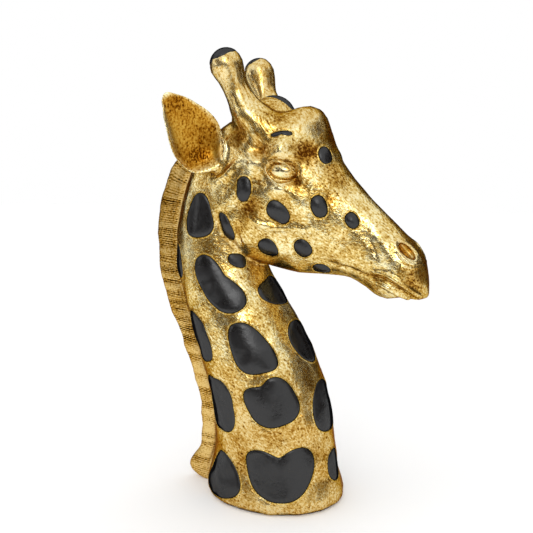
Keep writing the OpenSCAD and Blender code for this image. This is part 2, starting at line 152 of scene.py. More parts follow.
@dataclass
class Profile:
    """Section sizes along a form, on smooth curves through a few rows.

    The first number of a row is the place along the form and the rest are the sizes there.
    """

    rows: tuple[Row, ...]
    round_off: float = 2.5
    step: float = 0.5
    places: Array = field(init=False)
    columns: Array = field(init=False)

    def __post_init__(self) -> None:
        """Lays out the fine table that at() reads."""
        rows = np.array(self.rows)
        x = rows[:, 0]
        self.places = np.arange(x[0], x[-1] + self.step / 2, self.step)
        i = np.clip(np.searchsorted(x, self.places, side="right") - 1, 0, len(x) - 2)
        gap = (x[i + 1] - x[i])[:, None]
        u = np.clip((self.places - x[i])[:, None] / gap, 0, 1)
        low, high = np.maximum(np.arange(len(x)) - 1, 0), np.minimum(np.arange(len(x)) + 1, len(x) - 1)
        slopes = (rows[high] - rows[low]) / (x[high] - x[low])[:, None]
        fine = ((2 * u ** 3 - 3 * u ** 2 + 1) * rows[i] + (u ** 3 - 2 * u ** 2 + u) * gap * slopes[i]
                + (3 * u ** 2 - 2 * u ** 3) * rows[i + 1] + (u ** 3 - u ** 2) * gap * slopes[i + 1])
        if self.round_off > 0:
            reach = int(3 * self.round_off / self.step)
            bell = np.exp(-0.5 * (np.arange(-reach, reach + 1) * self.step / self.round_off) ** 2)
            bell /= bell.sum()
            ends = np.vstack([2 * fine[0] - fine[reach:0:-1], fine, 2 * fine[-1] - fine[-2:-reach - 2:-1]])
            fine = np.stack([np.convolve(ends[:, c], bell, "valid") for c in range(fine.shape[1])], 1)
        self.columns = fine

    def at(self, x: Array, column: int) -> Array:
        """The size in one column at the places x."""
        return np.interp(x, self.places, self.columns[:, column])


class Field:
    """Distances from a surface over the bust's left half, on a grid of cubes, negative inside."""

    def __init__(self, low: Row, high: Row, cube: float) -> None:
        """Sets out the grid.

        Args:
            low: Its lowest corner; Y is zero there.
            high: Its highest corner.
            cube: The edge of a cube.
        """
        self.low, self.cube = np.array(low, float), cube
        shape = np.ceil((np.array(high, float) - self.low) / cube).astype(int) + 1
        self.values = np.full(shape, 60.0, np.float32)

    def copy(self) -> "Field":
        """The same field on its own values."""
        return self.coarse(1)

    def coarse(self, times: int) -> "Field":
        """The same field on larger cubes.

        Args:
            times: How many times larger they are.

        Returns:
            The new field.
        """
        other = Field.__new__(Field)
        other.low, other.cube = self.low, self.cube * times
        other.values = self.values[::times, ::times, ::times].copy()
        return other

    def block(self, low: Row, high: Row) -> tuple[Slices, tuple[Array, Array, Array]]:
        """The part of the grid between two corners.

        Args:
            low: The lowest corner.
            high: The highest corner.

        Returns:
            The slices of the part, and its X, Y and Z as arrays that spread over each other.
        """
        start = np.clip(np.floor((np.array(low) - self.low) / self.cube).astype(int), 0, None)
        stop = np.minimum(np.ceil((np.array(high) - self.low) / self.cube).astype(int) + 1, self.values.shape)
        axes = [(self.low[i] + self.cube * np.arange(start[i], stop[i])).astype(np.float32) for i in range(3)]
        return (tuple(slice(a, b) for a, b in zip(start, stop)),
                (axes[0][:, None, None], axes[1][None, :, None], axes[2][None, None, :]))

    def even(self, values: Array) -> Array:
        """Values divided by their own slope, so that they measure distance near the surface."""
        slope = np.sqrt(sum(g * g for g in np.gradient(values, self.cube)))
        return (values / np.clip(slope, 0.35, 4)).astype(np.float32)

    def join(self, where: Slices, values: Array, blend: float) -> None:
        """Adds a form to the body, with the corner between them filled over blend."""
        self.values[where] = soft_min(self.values[where], values, blend)

    def cut(self, where: Slices, values: Array, blend: float) -> None:
        """Takes a form away from the body, with the edge between them rounded over blend."""
        self.values[where] = -soft_min(-self.values[where], values, blend)

    def push(self, where: Slices, height: Array) -> None:
        """Raises the surface by a height that changes from place to place."""
        self.values[where] -= height

    def ripple(self, waves: Array) -> None:
        """Makes the surface uneven, more so away from the middle plane.

        Args:
            waves: For each wave its vector in radians a millimetre, its shift and its height.
        """
        near = np.nonzero(np.abs(self.values) < 8)
        p = np.stack(near, 1) * self.cube + self.low
        height = np.zeros(len(p))
        for kx, ky, kz, shift, high in waves:
            height += high * np.sin(kx * p[:, 0] + ky * p[:, 1] + kz * p[:, 2] + shift)
        self.values[near] -= (height * soft_step(p[:, 1], 0, 14)).astype(np.float32)

    def soften(self, rounds: int) -> None:
        """Blurs the field a little, which rounds what a hand would rub smooth.

        Args:
            rounds: How many times each cube is mixed with its neighbours.
        """
        v = self.values
        for _ in range(rounds):
            for axis in range(3):
                v = np.moveaxis(v, axis, 0)
                before = np.concatenate([v[1:2] if axis == 1 else v[:1], v[:-1]])
                after = np.concatenate([v[1:], v[-1:]])
                v = np.moveaxis((before + 2 * v + after) / 4, 0, axis)
        self.values = np.ascontiguousarray(v, np.float32)

    def sample(self, points: Array) -> Array:
        """The field at points, read between the cubes. A point on the right reads its mirror image.

        Args:
            points: The points, one a row.

        Returns:
            The distance of each point from the surface.
        """
        p = np.array(points, float)
        p[:, 1] = np.abs(p[:, 1])
        q = np.clip((p - self.low) / self.cube, 0, np.array(self.values.shape) - 1.001)
        i = q.astype(int)
        f = q - i
        out = np.zeros(len(p))
        for corner in np.ndindex(2, 2, 2):
            share = np.prod(np.where(corner, f, 1 - f), axis=1)
            out += share * self.values[tuple((i + corner).T)]
        return out

    def normal(self, points: Array, reach: float = 0.8) -> Array:
        """The outward direction of the surface nearest to each point.

        Args:
            points: The points, one a row.
            reach: How far apart the field is read, as a share of a cube.

        Returns:
            One unit vector a row.
        """
        d = reach * self.cube
        grad = [self.sample(points + d * e) - self.sample(points - d * e) for e in np.eye(3)]
        return unit(np.stack(grad, 1))

    def seat(self, points: Array, rounds: int = 4) -> Array:
        """Points moved onto the surface along its own direction.

        Args:
            points: The points, one a row.
            rounds: How many steps they take.

        Returns:
            The points on the surface.
        """
        p = np.array(points, float)
        for _ in range(rounds):
            p -= 0.9 * self.sample(p)[:, None] * self.normal(p)
        return p

    def drape(self, points: Array) -> Array:
        """Points moved to their left onto the outermost surface, or to the middle plane where there is none.

        Args:
            points: The points, one a row.

        Returns:
            The points on the surface.
        """
        reach = np.arange(0, (self.values.shape[1] - 1) * self.cube, 0.4)
        p = np.repeat(np.array(points, float)[:, None], len(reach), 1)
        p[:, :, 1] = reach
        inside = self.sample(p.reshape(-1, 3)).reshape(len(points), -1) < 0
        last = len(reach) - 1 - np.argmax(inside[:, ::-1], 1)
        out = np.array(points, float)
        out[:, 1] = np.where(inside.any(1), reach[last], 0)
        return out

    def skin(self, thrift: float) -> tuple[Array, list[Face]]:
        """The surface of both halves as polygons.

        Args:
            thrift: From 0, all polygons of a cube's size, to 1, large ones where the surface is flat.

        Returns:
            The points, one a row, and the polygons as indices.
        """
        both = np.concatenate([self.values[:, :0:-1], self.values], axis=1)
        grid = openvdb.FloatGrid(60.0)
        grid.copyFromArray(np.ascontiguousarray(both))
        points, tris, quads = grid.convertToPolygons(0.0, thrift)
        low = self.low - np.array([0, (self.values.shape[1] - 1) * self.cube, 0])
        faces = [tuple(int(i) for i in f) for f in quads] + [tuple(int(i) for i in f) for f in tris]
        return np.array(points, float) * self.cube + low, faces


def make_object(name: str, points: Array, faces: Sequence[Sequence[int]], normals: Array | None = None,
                marks: dict[str, Array] | None = None) -> bpy.types.Object:
    """Makes a smooth-shaded object from points in millimetres.

    Args:
        name: The piece's name.
        points: Its points, one a row.
        faces: Its polygons as indices.
        normals: The surface direction at each point, if the piece brings its own.
        marks: Values at each point that its finish reads, by name.

    Returns:
        The new object, in the scene.
    """
    mesh = bpy.data.meshes.new(name)
    mesh.from_pydata((np.asarray(points) * MM).tolist(), [], [list(f) for f in faces])
    mesh.validate()
    mesh.polygons.foreach_set("use_smooth", np.ones(len(mesh.polygons), bool))
    for label, values in (marks or {}).items():
        kind = "FLOAT_VECTOR" if np.ndim(values) == 2 else "FLOAT"
        layer = mesh.attributes.new(label, kind, "POINT")
        layer.data.foreach_set("vector" if kind == "FLOAT_VECTOR" else "value",
                               np.ascontiguousarray(values, np.float32).ravel())
    if normals is not None:
        mesh.normals_split_custom_set_from_vertices(normals.tolist())
    obj = bpy.data.objects.new(name, mesh)
    bpy.context.scene.collection.objects.link(obj)
    return obj


def dress(obj: bpy.types.Object, finish: bpy.types.Material, nodes: Sequence[str] = ()) -> None:
    """Gives a piece its finish and its place on the body.

    Args:
        obj: The piece.
        finish: Its material.
        nodes: The CAD nodes that it stands for.
    """
    obj.data.materials.clear()
    obj.data.materials.append(finish)
    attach(obj, "root")
    if nodes:
        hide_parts(*nodes)
    LOG.info("%s: %d faces", obj.name, len(obj.data.polygons))


def band_faces(rings: int, around: int) -> list[Face]:
    """Quads over closed rings of points that follow each other."""
    return [(i * around + j, i * around + (j + 1) % around, (i + 1) * around + (j + 1) % around,
             (i + 1) * around + j) for i in range(rings - 1) for j in range(around)]


def to_right(points: Array, faces: Sequence[Face]) -> tuple[Array, list[Face]]:
    """A surface of the left side, mirrored to the right."""
    return points * [1, -1, 1], [face[::-1] for face in faces]


@dataclass
class NeckForm:
    """The neck: at each height an ellipse between a back and a front edge.

    A row of the profile is a height, the back edge, the front edge and half the width.
    """

    profile: Profile = field(default_factory=lambda: Profile((
        (0, -77.5, 76, 64), (8, -79, 78, 66), (20, -78, 75, 64.5), (32, -74, 72, 61.5),
        (50, -70, 69.5, 58.5), (75, -70.5, 66, 57), (100, -73, 62.5, 57), (126, -79, 56, 56.5),
        (155, -88.5, 45, 56), (185, -98, 30, 53.5), (214, -107, 12, 50), (243, -115.5, -6.5, 46),
        (270, -118.5, -17, 43.5), (300, -117, -22, 41.5), (330, -110, -24, 39), (355, -100, -26, 36),
        (375, -88, -30, 30), (386, -78, -36, 21), (392, -66, -48, 7))))
    foot: float = 1.5
    top: float = 392.0

    def section(self, z: Array) -> tuple[Array, Array, Array]:
        """The middle, half length and half width at heights z."""
        back, front, half = (self.profile.at(z, c) for c in (1, 2, 3))
        return (front + back) / 2, (front - back) / 2, half

    def at(self, z: Array, turn: Array) -> Array:
        """Points on the neck.

        Args:
            z: Their heights.
            turn: How many degrees they are turned from the front.

        Returns:
            The points, one a row.
        """
        middle, long, half = self.section(z)
        a = np.radians(turn)
        return np.stack([middle + long * np.cos(a), half * np.sin(a), np.asarray(z, float) + 0 * a], -1)

    def grow(self, body: Field) -> None:
        """Adds the neck to the body.

        Args:
            body: The body's field.
        """
        where, (x, y, z) = body.block((-128, 0, -6), (90, 74, self.top + 8))
        middle, long, half = self.section(z)
        u, v = (x - middle) / long, y / half
        far = np.sqrt(u * u + v * v)
        slope = np.sqrt((u / long) ** 2 + (v / half) ** 2) / np.maximum(far, 1e-6)
        values = (far - 1) / np.maximum(slope, 1e-6)
        values = -soft_min(-values, z - self.foot, 3.0)
        values = -soft_min(-values, self.top - z, 4.0)
        body.join(where, body.even(values), 0.0)

    def turn_of(self, x: Array, y: Array, z: Array) -> Array:
        """Degrees from the front of the points at x, y and z."""
        middle, long, half = self.section(z)
        return np.degrees(np.arctan2(y / half, (x - middle) / long))

    def girth(self, z: float, turn: float) -> float:
        """Millimetres round the neck for one degree, at a place."""
        ends = self.at(np.array([z, z]), np.array([turn - 0.5, turn + 0.5]))
        return float(np.linalg.norm(ends[1] - ends[0]))


@dataclass
class HeadForm:
    """The head: sections with their own squareness along an axis that points down to the nose.

    A row of the profile is a place along the axis, the underside, the widest line, the top, half the width,
    and how square the upper and the lower half of the section are.
    """

    tilt: float = math.radians(28)
    start: Row = (-45.0, 0.0, 365.0)
    profile: Profile = field(default_factory=lambda: Profile((
        (-35, 8, 12, 20, 6, 2, 2), (-30, -4, 12, 34, 19, 2.3, 2.1), (-18, -22, 12, 43.5, 34, 3, 2.5),
        (0, -50, 11, 49, 43, 3.6, 3), (18, -72, 12, 63, 46.5, 3.2, 3.2), (34, -80, 14, 81, 48, 2.7, 3.2),
        (48, -82, 16, 93.5, 48.5, 2.3, 3), (62, -81, 17, 92, 48, 2.1, 2.8), (78, -78, 14, 79, 44.5, 2.1, 2.5),
        (94, -75, 9, 64, 41, 2.2, 2.2), (118, -67, 3, 51.5, 35.5, 2.2, 2.2),
        (145, -53, -1, 41.5, 30, 2.3, 2.2), (172, -41, -3, 34, 26.5, 2.3, 2.2),
        (195, -41, -4, 27.5, 26, 2.4, 2.2), (213, -38, -5, 21.5, 27, 2.4, 2.2),
        (226, -31, -7, 14.5, 25, 2.4, 2.2), (236, -27, -11, 4, 19, 2.2, 2.2),
        (242, -25, -14, -4, 13, 2, 2), (247, -20, -16, -12, 5, 2, 2)), round_off=1.6))

    def place(self, s: Array, y: Array, h: Array) -> Array:
        """Turns places on the head to the bust's axes.

        Args:
            s: How far along the head they lie.
            y: How far to its left.
            h: How far up from its axis.

        Returns:
            The points, with X, Y and Z along the last axis.
        """
        c, t = math.cos(self.tilt), math.sin(self.tilt)
        x, z = self.start[0] + s * c + h * t, self.start[2] + h * c - s * t
        return np.stack(np.broadcast_arrays(x, y, z), -1)

    def axes(self, x: Array, z: Array) -> tuple[Array, Array]:
        """Places in the head's own axes.

        Args:
            x: Where points lie in front of the origin.
            z: Their heights.

        Returns:
            How far along the head and how far up from its axis they lie.
        """
        dx, dz = x - self.start[0], z - self.start[2]
        c, t = math.cos(self.tilt), math.sin(self.tilt)
        return dx * c - dz * t, dx * t + dz * c

    def section(self, s: Array) -> list[Array]:
        """Underside, widest line, top, half width and the two corner powers at s."""
        return [self.profile.at(s, c) for c in range(1, 7)]

    def grow(self, body: Field, blend: float) -> None:
        """Adds the head to the body.

        Args:
            body: The body's field.
            blend: How far the crease between the head and the neck is filled.
        """
        where, (x, y, z) = body.block((-95, 0, 220), (178, 62, 445))
        s, h = self.axes(x, z)
        under, wide, top, half, upper, lower = self.section(s)
        up = h >= wide
        deep, power = np.where(up, top - wide, wide - under), np.where(up, upper, lower)
        u, v = np.maximum(y / half, 1e-5), np.maximum(np.abs(h - wide) / deep, 1e-5)
        far = (u ** power + v ** power) ** (1 / power)
        slope = np.sqrt(((u / far) ** (power - 1) / half) ** 2 + ((v / far) ** (power - 1) / deep) ** 2)
        values = (far - 1) / slope
        first, last = self.profile.rows[0][0], self.profile.rows[-1][0]
        values = -soft_min(-values, last + 1.5 - s, 3.0)
        values = -soft_min(-values, s - first + 1.0, 3.0)
        body.join(where, body.even(values), blend)

    def at(self, s: Array, turn: Array) -> Array:
        """Points on the left side of the head.

        Args:
            s: Their places along the head.
            turn: How many degrees they are turned up from the widest line.

        Returns:
            The points, one a row.
        """
        under, wide, top, half, upper, lower = self.section(s)
        a = np.radians(turn)
        up = np.sin(a) >= 0
        deep, power = np.where(up, top - wide, wide - under), np.where(up, upper, lower)
        r = ((np.abs(np.cos(a)) / half) ** power + (np.abs(np.sin(a)) / deep) ** power) ** (-1 / power)
        return self.place(s, r * np.cos(a), wide + r * np.sin(a))

    def turn_of(self, s: Array, y: Array, h: Array) -> Array:
        """Degrees up from the widest line of points in the head's axes."""
        return np.degrees(np.arctan2(h - self.profile.at(s, 2), y))

    def girth(self, s: float, turn: float) -> float:
        """Millimetres round the head for one degree, at a place."""
        ends = self.at(np.array([s, s]), np.array([turn - 0.5, turn + 0.5]))
        return float(np.linalg.norm(ends[1] - ends[0]))


@dataclass(frozen=True)
class Stroke:
    """A bead laid on the left side of the head, or a groove cut into it.

    Each row of path is a place along the head and up, and how far out from the surface the bead's core
    runs there. radii are those at its start, middle and end. blend rounds the corner that it makes.
    """

    path: tuple[Row, ...]
    radii: tuple[float, float, float]
    blend: float
    cut: bool = False


@dataclass(frozen=True)
class Swell:
    """A soft rise in the left side of the head, or a sink if rise is negative.

    along and up place its middle, long and wide are its half sizes, and lean turns it up at the front, in
    degrees. A flat of more than one gives it a flat top and steep sides.
    """

    along: float
    up: float
    long: float
    wide: float
    lean: float
    rise: float
    flat: float = 1.0


@dataclass(frozen=True)
class Ball:
    """An ellipsoid joined to the left side of the head, or cut from it.

    middle is along the head, to its left and up, radii are along the same axes, and lean turns it up at
    the front. blend rounds the corner that it makes.
    """

    middle: Row
    radii: Row
    lean: float
    blend: float
    cut: bool = False


@dataclass
class Features:
    """The modelling of the face: brow, eye, cheek, nostril, lips and chin, and the roots of the ears."""

    head: HeadForm
    swells: tuple[Swell, ...] = (
        Swell(57, 46, 9, 13, 28, 5.5),  # bulge of the brow
        Swell(33, 35, 8, 10, 28, -5.5),  # temple hollow behind the brow
        Swell(77, 53, 8, 12, 28, -3.0),  # hollow before the brow
        Swell(35, 22, 8, 7, 28, 3.5),  # swelling behind the eye
        Swell(49, 6, 8, 7, 28, -2.8),  # hollow below the eye's back corner
        Swell(72.5, 10, 7, 6, 28, 3.0),  # bag below the eye
        Swell(82, 25, 6, 7, 28, -2.5),  # hollow at the eye's front corner
        Swell(97, 11, 12, 9, 0, 2.0),  # rise before the eye
        Swell(43, -29, 9, 12, 28, -3.0),  # hollow behind the cheek
        Swell(66.0, 27.5, 18, 12, 20, -4.2, 2.0),  # eye socket
        Swell(179, 6, 15, 3.6, -36, -1.8),  # crease behind the nostril
        Swell(118, -6, 34, 9, -22, 1.6),  # ridge along the cheek
        Swell(196, 8, 14, 7, -30, 1.4),  # wing of the nostril
        Swell(52, -50, 16, 4.5, -70, -2.2),  # groove before the jaw's corner
        Swell(96, -48, 20, 8, 20, 1.8),  # jaw muscle
        Swell(9, 34, 6, 18, 0, -1.5),  # hollow before the ear's root
        Swell(90, 40, 14, 8, -20, -1.0))  # flat between the brow and the nose
    balls: tuple[Ball, ...] = (
        Ball((65.5, 39.4, 27.2), (15.5, 10.2, 9.8), 20, 0.6),  # eyeball
        Ball((211, 17.0, 15.6), (11, 7, 4.3), -18, 1.5, True),  # nostril
        Ball((207, 4, -31.5), (15, 15, 9), 8, 6.0),  # chin
        Ball((13, 0, 67), (24, 20, 17.5), 12, 5.0))  # bump between the ossicones
    strokes: tuple[Stroke, ...] = (
        # The cheekbone.
        Stroke(((56, -31, -1.5), (66, -33, -0.6), (77, -31, -0.2), (88, -27, -0.2), (106, -17.5, -0.8),
                (122, -11, -2.0)), (1.5, 3.2, 1.5), 5.0),
        # The upper and the lower lid.
        Stroke(((49.0, 25, -0.5), (52.5, 31.0, 1.2), (58.5, 34.2, 2.2), (66.0, 35.6, 2.5), (73.0, 35.0, 2.1),
                (80.0, 32.0, 1.0), (84, 29.0, -0.4)), (0.9, 1.35, 0.8), 0.5),
        Stroke(((49.0, 26, -0.4), (51.0, 20.5, 0.9), (56.0, 16.8, 1.6), (63.5, 14.6, 1.9), (70.5, 14.6, 1.8),
                (77.0, 19.5, 1.2), (82.0, 28, -0.2)), (0.9, 1.3, 0.8), 0.5),
        # The folds at the eye's front corner and before the ear.
        Stroke(((84, 31.5, -0.5), (90, 30, 0.1), (98, 27, -0.7)), (0.8, 1.3, 0.7), 1.4),
        Stroke(((24, 22, -1.8), (18.4, 11, -0.8), (14.5, 0, 0.2), (11, -9, 0.4), (3, -18, 0.2),
                (-6, -23, -0.8)), (1.2, 2.4, 1.4), 5.0),
        # The nostril's lower rim, its upper rim and the fold below it.
        Stroke(((197, 20, -0.4), (199.5, 15.5, 0.2), (206, 11.4, 0.5), (215, 8.6, 0.6),
                (223, 8.5, 0.4), (227, 11, -0.4)), (1.0, 1.7, 1.0), 1.2),
        Stroke(((198, 21.5, 0.0), (208, 21, 0.4), (217, 18.5, 0.4), (226, 13.5, 0.0)), (1.0, 1.6, 1.0), 1.6),
        Stroke(((207, 4.5, -0.4), (215, 3.6, 0.0), (223, 4.4, 0.2), (228, 7.5, -0.4)), (0.8, 1.6, 0.8), 1.5),
        # The upper lip, the line of the mouth and the lower lip.
        Stroke(((186, -20, -0.8), (194, -17.5, 0.2), (203, -14, 0.5), (214, -12.3, 0.6),
                (226, -13.4, 0.7), (236, -15.5, 0.6), (243, -18, 0.2)), (1.0, 2.5, 2.6), 2.0),
        Stroke(((184, -25.6, 0.0), (195, -22.9, 0.2), (205, -19.8, 0.2), (215, -18.9, 0.2),
                (225, -20, 0.2), (234, -22.2, 0.0), (241, -24.4, 0)), (0.8, 1.9, 1.9), 0.8, True),
        Stroke(((191, -28.5, -0.8), (203, -26.5, -0.1), (214, -25, 0.2), (225, -25.8, 0.2),
                (233, -27, 0)), (1.0, 2.2, 2.4), 1.4),
        # The mouth's line on the cheek, and the crease at the jaw's corner.
        Stroke(((140, -36, 0.5), (149, -33.5, 0.6), (167, -28.5, 0.5), (184, -25.6, 0.3)),
               (0.5, 1.3, 1.0), 1.6, True),
        Stroke(((40, -40, 0.6), (47, -49, 0.7), (55, -60, 0.6), (60, -67, 0.6)), (0.6, 1.6, 0.6), 2.0, True))

    def frame(self, body: Field, lean: float, middle: Row, low: Row, high: Row) -> tuple[Slices, list[Array]]:
        """A part of the grid and its places in axes that are set in the head.

        Args:
            body: The body's field.
            lean: How far the axes turn up at the front, in degrees.
            middle: Their origin, along the head, to its left and up.
            low: The part's lowest corner.
            high: Its highest corner.

        Returns:
            The part's slices, and the places along, to the left and up.
        """
        where, (x, y, z) = body.block(low, high)
        s, h = self.head.axes(x, z)
        c, t = math.cos(math.radians(lean)), math.sin(math.radians(lean))
        ds, dh = s - middle[0], h - middle[2]
        return where, [ds * c + dh * t, y - middle[1], dh * c - ds * t]

    def around(self, along: float, up: float, reach: float) -> tuple[Array, Array]:
        """The corners of a box of the given reach round a place on the head's middle plane."""
        p = self.head.place(np.float64(along), np.float64(0), np.float64(up))
        return p - [reach, 80, reach], p + [reach, 80, reach]

    def grow(self, body: Field) -> None:
        """Models the face in the body.

        Args:
            body: The body's field.
        """
        plain = body.copy()
        for swell in self.swells:
            low, high = self.around(swell.along, swell.up, 2.6 * max(swell.long, swell.wide))
            where, (a, y, b) = self.frame(body, swell.lean, (swell.along, 0, swell.up), low, high)
            far = ((a / swell.long) ** 2 + (b / swell.wide) ** 2) ** swell.flat
            body.push(where, (swell.rise * np.exp(-far) * soft_step(y, 2, 12)).astype(np.float32))
        for ball in self.balls:
            low, high = self.around(ball.middle[0], ball.middle[2], 1.3 * max(ball.radii) + 4)
            where, p = self.frame(body, ball.lean, ball.middle, low, high)
            lay = body.cut if ball.cut else body.join
            lay(where, ellipsoid(p, (0, 0, 0), ball.radii), ball.blend)
        for stroke in self.strokes:
            rows = smooth_path(stroke.path, 5 * len(stroke.path))
            path = body.drape(self.head.place(rows[:, 0], np.zeros(len(rows)), rows[:, 1]))
            path += rows[:, 2:] * plain.normal(path, 2.5)
            radii = np.interp(np.linspace(0, 2, len(path)), (0, 1, 2), stroke.radii)
            where, p = body.block(path.min(0) - 8, path.max(0) + 8)
            lay = body.cut if stroke.cut else body.join
            lay(where, rope(p, path, radii).astype(np.float32), stroke.blend)


@dataclass
class Ossicone:
    """The left ossicone: a waisted stalk with a round knob, whose foot flares into the head.

    A row of the stalk is a height, the radius, and how far its middle runs forward and inward there.
    """

    foot: Row = (0.0, 31.0, 57.0)
    lean: float = math.radians(21.5)
    splay: float = math.radians(8.6)
    knob: float = 17.0
    tip: float = 72.4
    cap_rise: float = 0.5
    cap_deep: float = 2.2
    cap_dip: float = 0.08
    stalk: Profile = field(default_factory=lambda: Profile((
        (-34, 24, 9, 8), (-18, 24, 9, 6), (-8, 22, 6, 3), (0, 19.5, 3, 1), (6, 17.6, 1.5, 0),
        (13, 15.4, 0.5, 0), (21, 13.6, 0, 0), (30, 13.1, -0.3, 0), (39.5, 14.3, -0.5, 0), (47.5, 16, -0.3, 0),
        (56, 17, 0, 0))))

    def frame(self, head: HeadForm) -> tuple[Array, Array]:
        """The ossicone's place on the head.

        Args:
            head: The head that it stands on.

        Returns:
            Its own axes as rows, and its foot.
        """
        cx, sx = math.cos(-self.splay), math.sin(-self.splay)
        cy, sy = math.cos(-self.lean), math.sin(-self.lean)
        turn_x = np.array([[1, 0, 0], [0, cx, -sx], [0, sx, cx]])
        turn_y = np.array([[cy, 0, sy], [0, 1, 0], [-sy, 0, cy]])
        return (turn_y @ turn_x).T, head.place(*(np.float64(v) for v in self.foot))

    def grow(self, body: Field, head: HeadForm, blend: float) -> None:
        """Adds the stalk and the knob to the body.

        Args:
            body: The body's field.
            head: The head that they stand on.
            blend: How far the stalk's foot is filled.
        """
        axes, foot = self.frame(head)
        where, p = body.block((-66, 0, 372), (36, 66, 492))
        rel = [a - f for a, f in zip(p, foot)]
        x, y, z = (sum(a * b for a, b in zip(rel, row)) for row in axes)
        radius, forward, inward = (self.stalk.at(z, c) for c in (1, 2, 3))
        stalk = np.sqrt((x - forward) ** 2 + (y + inward) ** 2) - radius
        stalk = np.maximum(stalk, np.maximum(z - 56, -34 - z))
        knob = np.sqrt(x * x + y * y + (z - self.tip + self.knob) ** 2) - self.knob
        form = body.even(soft_min(stalk, knob, 2.0))
        body.join(where, form, blend)

    def cap(self, head: HeadForm, reach: float) -> tuple[Array, list[Face]]:
        """The black cap over the knob's end, a little proud of the gilding.

        Args:
            head: The head that the ossicone stands on.
            reach: How far the cap reaches down from the knob's pole, in degrees.

        Returns:
            Points and faces.
        """
        axes, foot = self.frame(head)
        around, levels = 56, 15
        turns = np.linspace(0, 2 * math.pi, around, endpoint=False)
        edge = math.radians(90 - reach) + self.cap_dip * np.cos(turns)
        rings = [(self.knob - self.cap_deep, edge)]
        for i in range(levels):
            up = edge + (math.pi / 2 - 0.02 - edge) * (i / (levels - 1)) ** 1.2
            rings.append((self.knob + self.cap_rise * min(1.0, i / 1.5), up))
        local = np.vstack([np.stack([r * np.cos(up) * np.cos(turns), r * np.cos(up) * np.sin(turns),
                                     self.tip - self.knob + r * np.sin(up)], 1) for r, up in rings])
        faces = band_faces(len(rings), around) + [tuple(range(len(local) - around, len(local)))]
        return local @ axes + foot, faces


